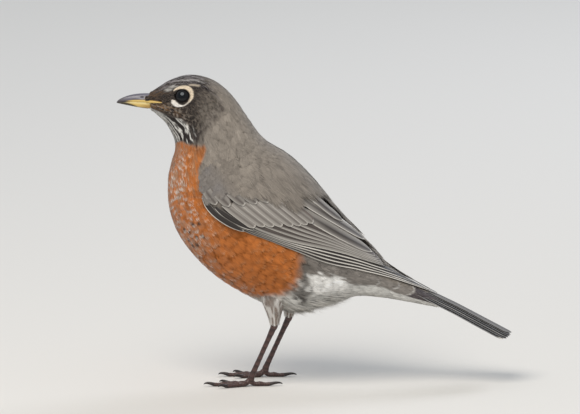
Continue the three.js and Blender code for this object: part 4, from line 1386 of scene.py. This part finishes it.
def thigh_form(side, hip, ankle):
    """The plumage of a thigh as a surface, which takes and returns what surface() does: s goes along it, 0 to 1.2,
    and a round it. A point is the middle line + (radius + lift) (sideways cos a + forwards sin a)."""

    def middle(t):
        return thigh_path(side, hip, ankle, t.ravel()).reshape(*t.shape, 3)

    def radius(t):
        return np.interp(t, [0, 0.33, 0.67, 1.0, 1.2], [7.6, 6.2, 4.2, 2.6, 2.0])

    def form(s, a, lift=0.0):
        s, a, lift = np.broadcast_arrays(np.asarray(s, float), a, lift)
        run = unit(middle(s + 0.01) - middle(s))
        sideways = unit(np.cross(run, np.array([0, 1.0, 0])))
        forwards = np.cross(sideways, run)
        ring = sideways * np.cos(a)[..., None] + forwards * np.sin(a)[..., None]
        turn = forwards * np.cos(a)[..., None] - sideways * np.sin(a)[..., None]
        point = middle(s) + ring * (radius(s) + lift)[..., None]
        along = (middle(s + 0.01) - middle(s)) * 100 + ring * ((radius(s + 0.01) - radius(s)) * 100)[..., None]
        return point, ring, along, turn * radius(s)[..., None]

    return form


def thigh_coat(side, hip, ankle, rng):
    """Short feathers of a thigh in staggered rings, brown-grey with white blotches and ends."""
    s, turn = np.meshgrid(np.arange(0.05, 1.0, 0.085), np.arange(16), indexing="ij")
    turn = turn + 0.5 * (np.arange(len(s)) % 2)[:, None]
    roots = np.stack([s, 2 * np.pi * turn / 16 - np.pi], -1).reshape(-1, 2)
    roots = roots + rng.normal(0, 0.012, roots.shape)
    sizes = dict(
        length=np.interp(roots[:, 0], [0, 1], [6.5, 3.0]),
        width=np.interp(roots[:, 0], [0, 1], [1.9, 0.9]),
        depth=0.9,
        top=0.1,
        barbs=16,
        bends=3,
        barb_width=0.34,
        ruffle=0.3,
        form=thigh_form(side, hip, ankle),
        unwrap=(1.3, 2 * np.pi),
    )

    def paint(s, a, shares, rng):
        own = 1 + rng.normal(0, 0.07, (len(s), 1, 1)) + rng.normal(0, 0.06, s.shape[:2] + (1,))
        white = np.maximum(ramp(grain(s * 5, a * 5, 1), 0.3, 0.6), ramp(shares[0], 0.6, 1.1) * 0.7)
        return mix(shade("#93857b") + 0 * s[..., None], shade("#dedad5"), white) * own[..., None]

    coat(f"{side_name(side)}_thigh_coat", "thigh_feathers", roots, sizes, rng, paint)


def clear_of_eye(roots, length):
    """Shortens the feathers that would reach over the eye, and drops those that can't be kept off it."""
    side = roots[:, 0] < 4.5
    point, _, along, _ = surface(roots[:, 0], roots[:, 1])
    ahead, facing = unit(along), np.sign(roots[:, 1])
    share = np.zeros(len(roots))
    for trial in (0.3, 0.45, 0.6, 0.8, 1.0):
        reach = [point + ahead * (length * trial * part)[:, None] for part in (0, 0.35, 0.7, 1.05)]
        far = np.min([eye_far(p, facing) for p in reach], axis=0)
        share = np.where((far > 1.1) | ~side, trial, share)
    return share


def head_coat(rng):
    """Small feathers of the head, closest about the eyes. They leave out the bill, the mouth and the eyes."""
    roots = np.concatenate(
        [
            lattice(0.06, 5.6, 0.135, 1.2, rng),
            lattice(2.0, 4.0, 0.075, 0.8, rng, 38, 96),
            lattice(-0.85, 1.6, 0.1, 0.7, rng),
        ]
    )
    s, angle = roots[:, 0], np.degrees(np.abs(roots[:, 1]))
    bill = 0.04 - 0.85 * np.exp(-(((angle - 60) / 12) ** 2)) + 0.3 * np.exp(-(((angle - 84) / 8) ** 2))
    mouth = (s < 1.3) & (angle > 76) & (angle < 90 + 3 * s)
    roots = roots[~mouth & (s > bill)]
    share = clear_of_eye(roots, head_sizes(roots[:, 0])["length"])
    roots, share = roots[share > 0], share[share > 0]
    sizes = head_sizes(roots[:, 0])
    sizes["length"] = sizes["length"] * share
    sizes["width"] = sizes["width"] * np.sqrt(share)
    face = roots[:, 0] < 2.6
    for name, part in (("face_coat", face), ("head_coat", ~face)):
        some = {key: value[part] if np.ndim(value) else value for key, value in sizes.items()}
        coat(name, "head_feathers", roots[part], some, rng, lambda *made: tuft_colours(*made, rim=0.3))


def body_coats(rng):
    """Contour feathers of the trunk in three pieces: the orange breast, the vent, and the grey rest."""
    roots = np.concatenate([lattice(5.0, 9.2, 0.17, 2.6, rng), lattice(9.2, 17.0, 0.22, 2.9, rng)])
    roots = roots[~under_wing(roots[:, 0], np.degrees(np.abs(roots[:, 1])))]
    s, angle = roots[:, 0], np.degrees(np.abs(roots[:, 1]))
    orange = orange_share(s, angle) > 0.4
    vent = (s > 10.8) & (angle > 50) & ~orange
    for name, part in (("breast", orange), ("vent", vent), ("back", ~orange & ~vent)):
        coat(f"{name}_coat", f"{name}_feathers", roots[part], body_sizes(s[part], angle[part]), rng)


def lesser_coverts(side, rng):
    """Small feathers of the shoulder, in front of the wing's vanes and higher towards them."""
    roots = lattice(7.35, 8.75, 0.11, 2.1, rng, 68, 110)
    s, angle = roots[:, 0], np.degrees(np.abs(roots[:, 1]))
    low = np.interp(s, [7.3, 7.5, 8.0, 8.35], [98, 107, 107, 106])
    last = np.interp(angle, [76, 80, 93, 99, 104, 108], [8.75, 8.65, 8.33, 8.1, 8.2, 8.35])
    roots = roots[(angle < low) & (s < last) & (np.sign(roots[:, 1]) == side)]
    top = np.interp(roots[:, 0], [7.35, 7.7, 8.3], [0.5, 1.8, 2.95])
    sizes = dict(
        length=np.interp(roots[:, 0], [7, 9], [4.0, 5.5]),
        width=1.9,
        depth=1.0 - top,
        top=top,
        barbs=22,
        bends=4,
        barb_width=0.42,
        ruffle=0.04,
        shake=0.03,
    )

    def paint(s, a, shares, rng):
        t, rise, _ = shares
        own = 1 + rng.normal(0, 0.05, (len(s), 1, 1)) + rng.normal(0, 0.05, s.shape[:2] + (1,))
        blend = ramp(np.degrees(np.abs(a)), 76, 92) * (0.4 + 0.6 * grain(s * 4, a * 9, 2))
        tint = mix(colour("back") * 0.97, shade("#7d7977"), blend)
        tint = mix(tint, colour("quill"), (1 - ramp(rise, 0.45, 0.9)) * 0.2)
        return mix(tint, colour("fringe"), ramp(t, 0.5, 1) * ramp(rise, 0.7, 0.95) * 0.12) * own[..., None]

    coat(f"{side_name(side)}_lesser_coverts", "wing_coverts", roots, sizes, rng, paint)


# ------------------------------------------------------------------ studio

LAMPS_MEET = Vector((-0.01, 0, 0.09))
VIEW_CENTRE, VIEW_WIDTH, VIEW_FAR = Vector((-12.76, 0, 92)) * MM, 0.3021, 6.0  # metres

def floor_paint(tree):
    """Matt paint: the floor takes soft shadows and gives no reflections."""
    tint = (*bpy.context.scene.robin_stage.floor, 1)
    return node(tree, "ShaderNodeBsdfPrincipled", Base_Color=tint, Roughness=0.9, Specular_IOR_Level=0.1)


def build_stage():
    """A floor, an evenly bright sky, two round lamps turned towards the bird, and a camera on its left."""
    scene = bpy.context.scene
    settings = scene.robin_stage
    bpy.ops.mesh.primitive_plane_add(size=14, location=(0, 0, -0.0002))
    floor = bpy.context.object
    floor.name = "studio_floor"
    floor.data.materials.append(finish("Studio floor paint", floor_paint))

    scene.view_settings.view_transform = "Standard"
    world = bpy.data.worlds.new("Studio air")
    scene.world = world
    world.use_nodes = True
    background = world.node_tree.nodes["Background"]
    background.inputs["Color"].default_value = (*linear("#e6ebf0"), 1)
    background.inputs["Strength"].default_value = settings.sky

    def lamp(name, at, size, power, tint):
        data = bpy.data.lights.new(name, "AREA")
        data.shape, data.size, data.energy, data.color = "DISK", size, power, linear(tint)
        lamp_object = bpy.data.objects.new(name, data)
        scene.collection.objects.link(lamp_object)
        lamp_object.location = at
        lamp_object.rotation_euler = (LAMPS_MEET - Vector(at)).to_track_quat("-Z", "Y").to_euler()

    lamp("key", (-0.55, -1.1, 1.7), 1.4, settings.key, "#fff8ee")
    lamp("rim", (0.9, 1.3, 1.2), 0.9, settings.key * 0.35, "#eef3ff")

    camera = bpy.data.objects.new("camera", bpy.data.cameras.new("camera"))
    scene.collection.objects.link(camera)
    scene.camera = camera
    tilt = settings.elevation
    camera.location = VIEW_CENTRE + Vector((0, -math.cos(tilt), math.sin(tilt))) * VIEW_FAR
    camera.rotation_euler = (math.pi / 2 - tilt, 0, 0)
    camera.data.sensor_width = 36
    camera.data.lens = 36 * VIEW_FAR / VIEW_WIDTH
    camera.data.clip_end = 100


# ------------------------------------------------------------------ operators and panel


class ROBIN_OT_skin(bpy.types.Operator):
    """Builds the skin of head, trunk and thighs, with its lids."""

    bl_idname, bl_label = "robin.skin", "Skin"

    def execute(self, context):
        build_skin()
        return {"FINISHED"}


class ROBIN_OT_eyes(bpy.types.Operator):
    """Builds the eyes."""

    bl_idname, bl_label = "robin.eyes", "Eyes"

    def execute(self, context):
        for side in (-1, 1):
            build_eye(side)
        return {"FINISHED"}


class ROBIN_OT_bill(bpy.types.Operator):
    """Builds both halves of the bill and the corners of the mouth."""

    bl_idname, bl_label = "robin.bill", "Bill"

    def execute(self, context):
        build_bill()
        return {"FINISHED"}


class ROBIN_OT_head_coat(bpy.types.Operator):
    """Covers the head with small feathers."""

    bl_idname, bl_label = "robin.head_coat", "Head feathers"

    def execute(self, context):
        head_coat(np.random.default_rng(21))
        return {"FINISHED"}


class ROBIN_OT_body_coats(bpy.types.Operator):
    """Covers back, breast, belly, vent and thighs with contour feathers."""

    bl_idname, bl_label = "robin.body_coats", "Body feathers"

    def execute(self, context):
        body_coats(np.random.default_rng(22))
        for side, hip, ankle, _ in LEGS:
            thigh_coat(side, hip, ankle, np.random.default_rng(23))
        return {"FINISHED"}


class ROBIN_OT_wings(bpy.types.Operator):
    """Builds the folded wings: flight feathers, tertials and coverts."""

    bl_idname, bl_label = "robin.wings", "Wings"

    def execute(self, context):
        for side in (-1, 1):
            name, rng = side_name(side), np.random.default_rng(24)
            flight = flight_vanes(side, rng)
            nodes = (f"{name}_wing_tertials", f"{name}_wing_primaries")
            add_vanes(f"{name}_flight_vanes", flight, "flight_feathers", *nodes)
            add_vanes(f"{name}_covert_vanes", covert_vanes(side, rng), "wing_coverts", f"{name}_wing_coverts")
            lesser_coverts(side, rng)
        return {"FINISHED"}


class ROBIN_OT_tail(bpy.types.Operator):
    """Builds the twelve tail feathers."""

    bl_idname, bl_label = "robin.tail", "Tail"

    def execute(self, context):
        add_vanes("tail_vanes", tail_vanes(np.random.default_rng(25)), "tail_feathers", "tail")
        return {"FINISHED"}


class ROBIN_OT_legs(bpy.types.Operator):
    """Builds the scaly legs, toes and claws."""

    bl_idname, bl_label = "robin.legs", "Legs"

    def execute(self, context):
        for side, _, ankle, ball in LEGS:
            build_leg(side, ankle, ball)
        return {"FINISHED"}


class ROBIN_OT_stage(bpy.types.Operator):
    """Sets up floor, lights, sky and camera."""

    bl_idname, bl_label = "robin.stage", "Studio"

    def execute(self, context):
        build_stage()
        return {"FINISHED"}


OPERATORS = (
    ROBIN_OT_skin,
    ROBIN_OT_eyes,
    ROBIN_OT_bill,
    ROBIN_OT_head_coat,
    ROBIN_OT_body_coats,
    ROBIN_OT_wings,
    ROBIN_OT_tail,
    ROBIN_OT_legs,
    ROBIN_OT_stage,
)
GROUPS = {"robin_colours": RobinColours, "robin_sizes": RobinSizes, "robin_stage": RobinStage}


class ROBIN_PT_panel(bpy.types.Panel):
    """The sidebar's list of pieces and settings."""

    bl_label, bl_idname = "Robin", "ROBIN_PT_panel"
    bl_space_type, bl_region_type, bl_category = "VIEW_3D", "UI", "Robin"

    def draw(self, context):
        for operator in OPERATORS:
            self.layout.operator(operator.bl_idname)
        for group, kind in GROUPS.items():
            for setting in kind.__annotations__:
                self.layout.prop(getattr(context.scene, group), setting)


def register():
    for kind in (*GROUPS.values(), *OPERATORS, ROBIN_PT_panel):
        bpy.utils.register_class(kind)
    for name, kind in GROUPS.items():
        setattr(bpy.types.Scene, name, PointerProperty(type=kind))


def unregister():
    for name in GROUPS:
        delattr(bpy.types.Scene, name)
    for kind in reversed((*GROUPS.values(), *OPERATORS, ROBIN_PT_panel)):
        bpy.utils.unregister_class(kind)


def main():
    register()
    for operator in OPERATORS:
        group, name = operator.bl_idname.split(".")
        getattr(getattr(bpy.ops, group), name)()


if __name__ == "__main__":
    main()
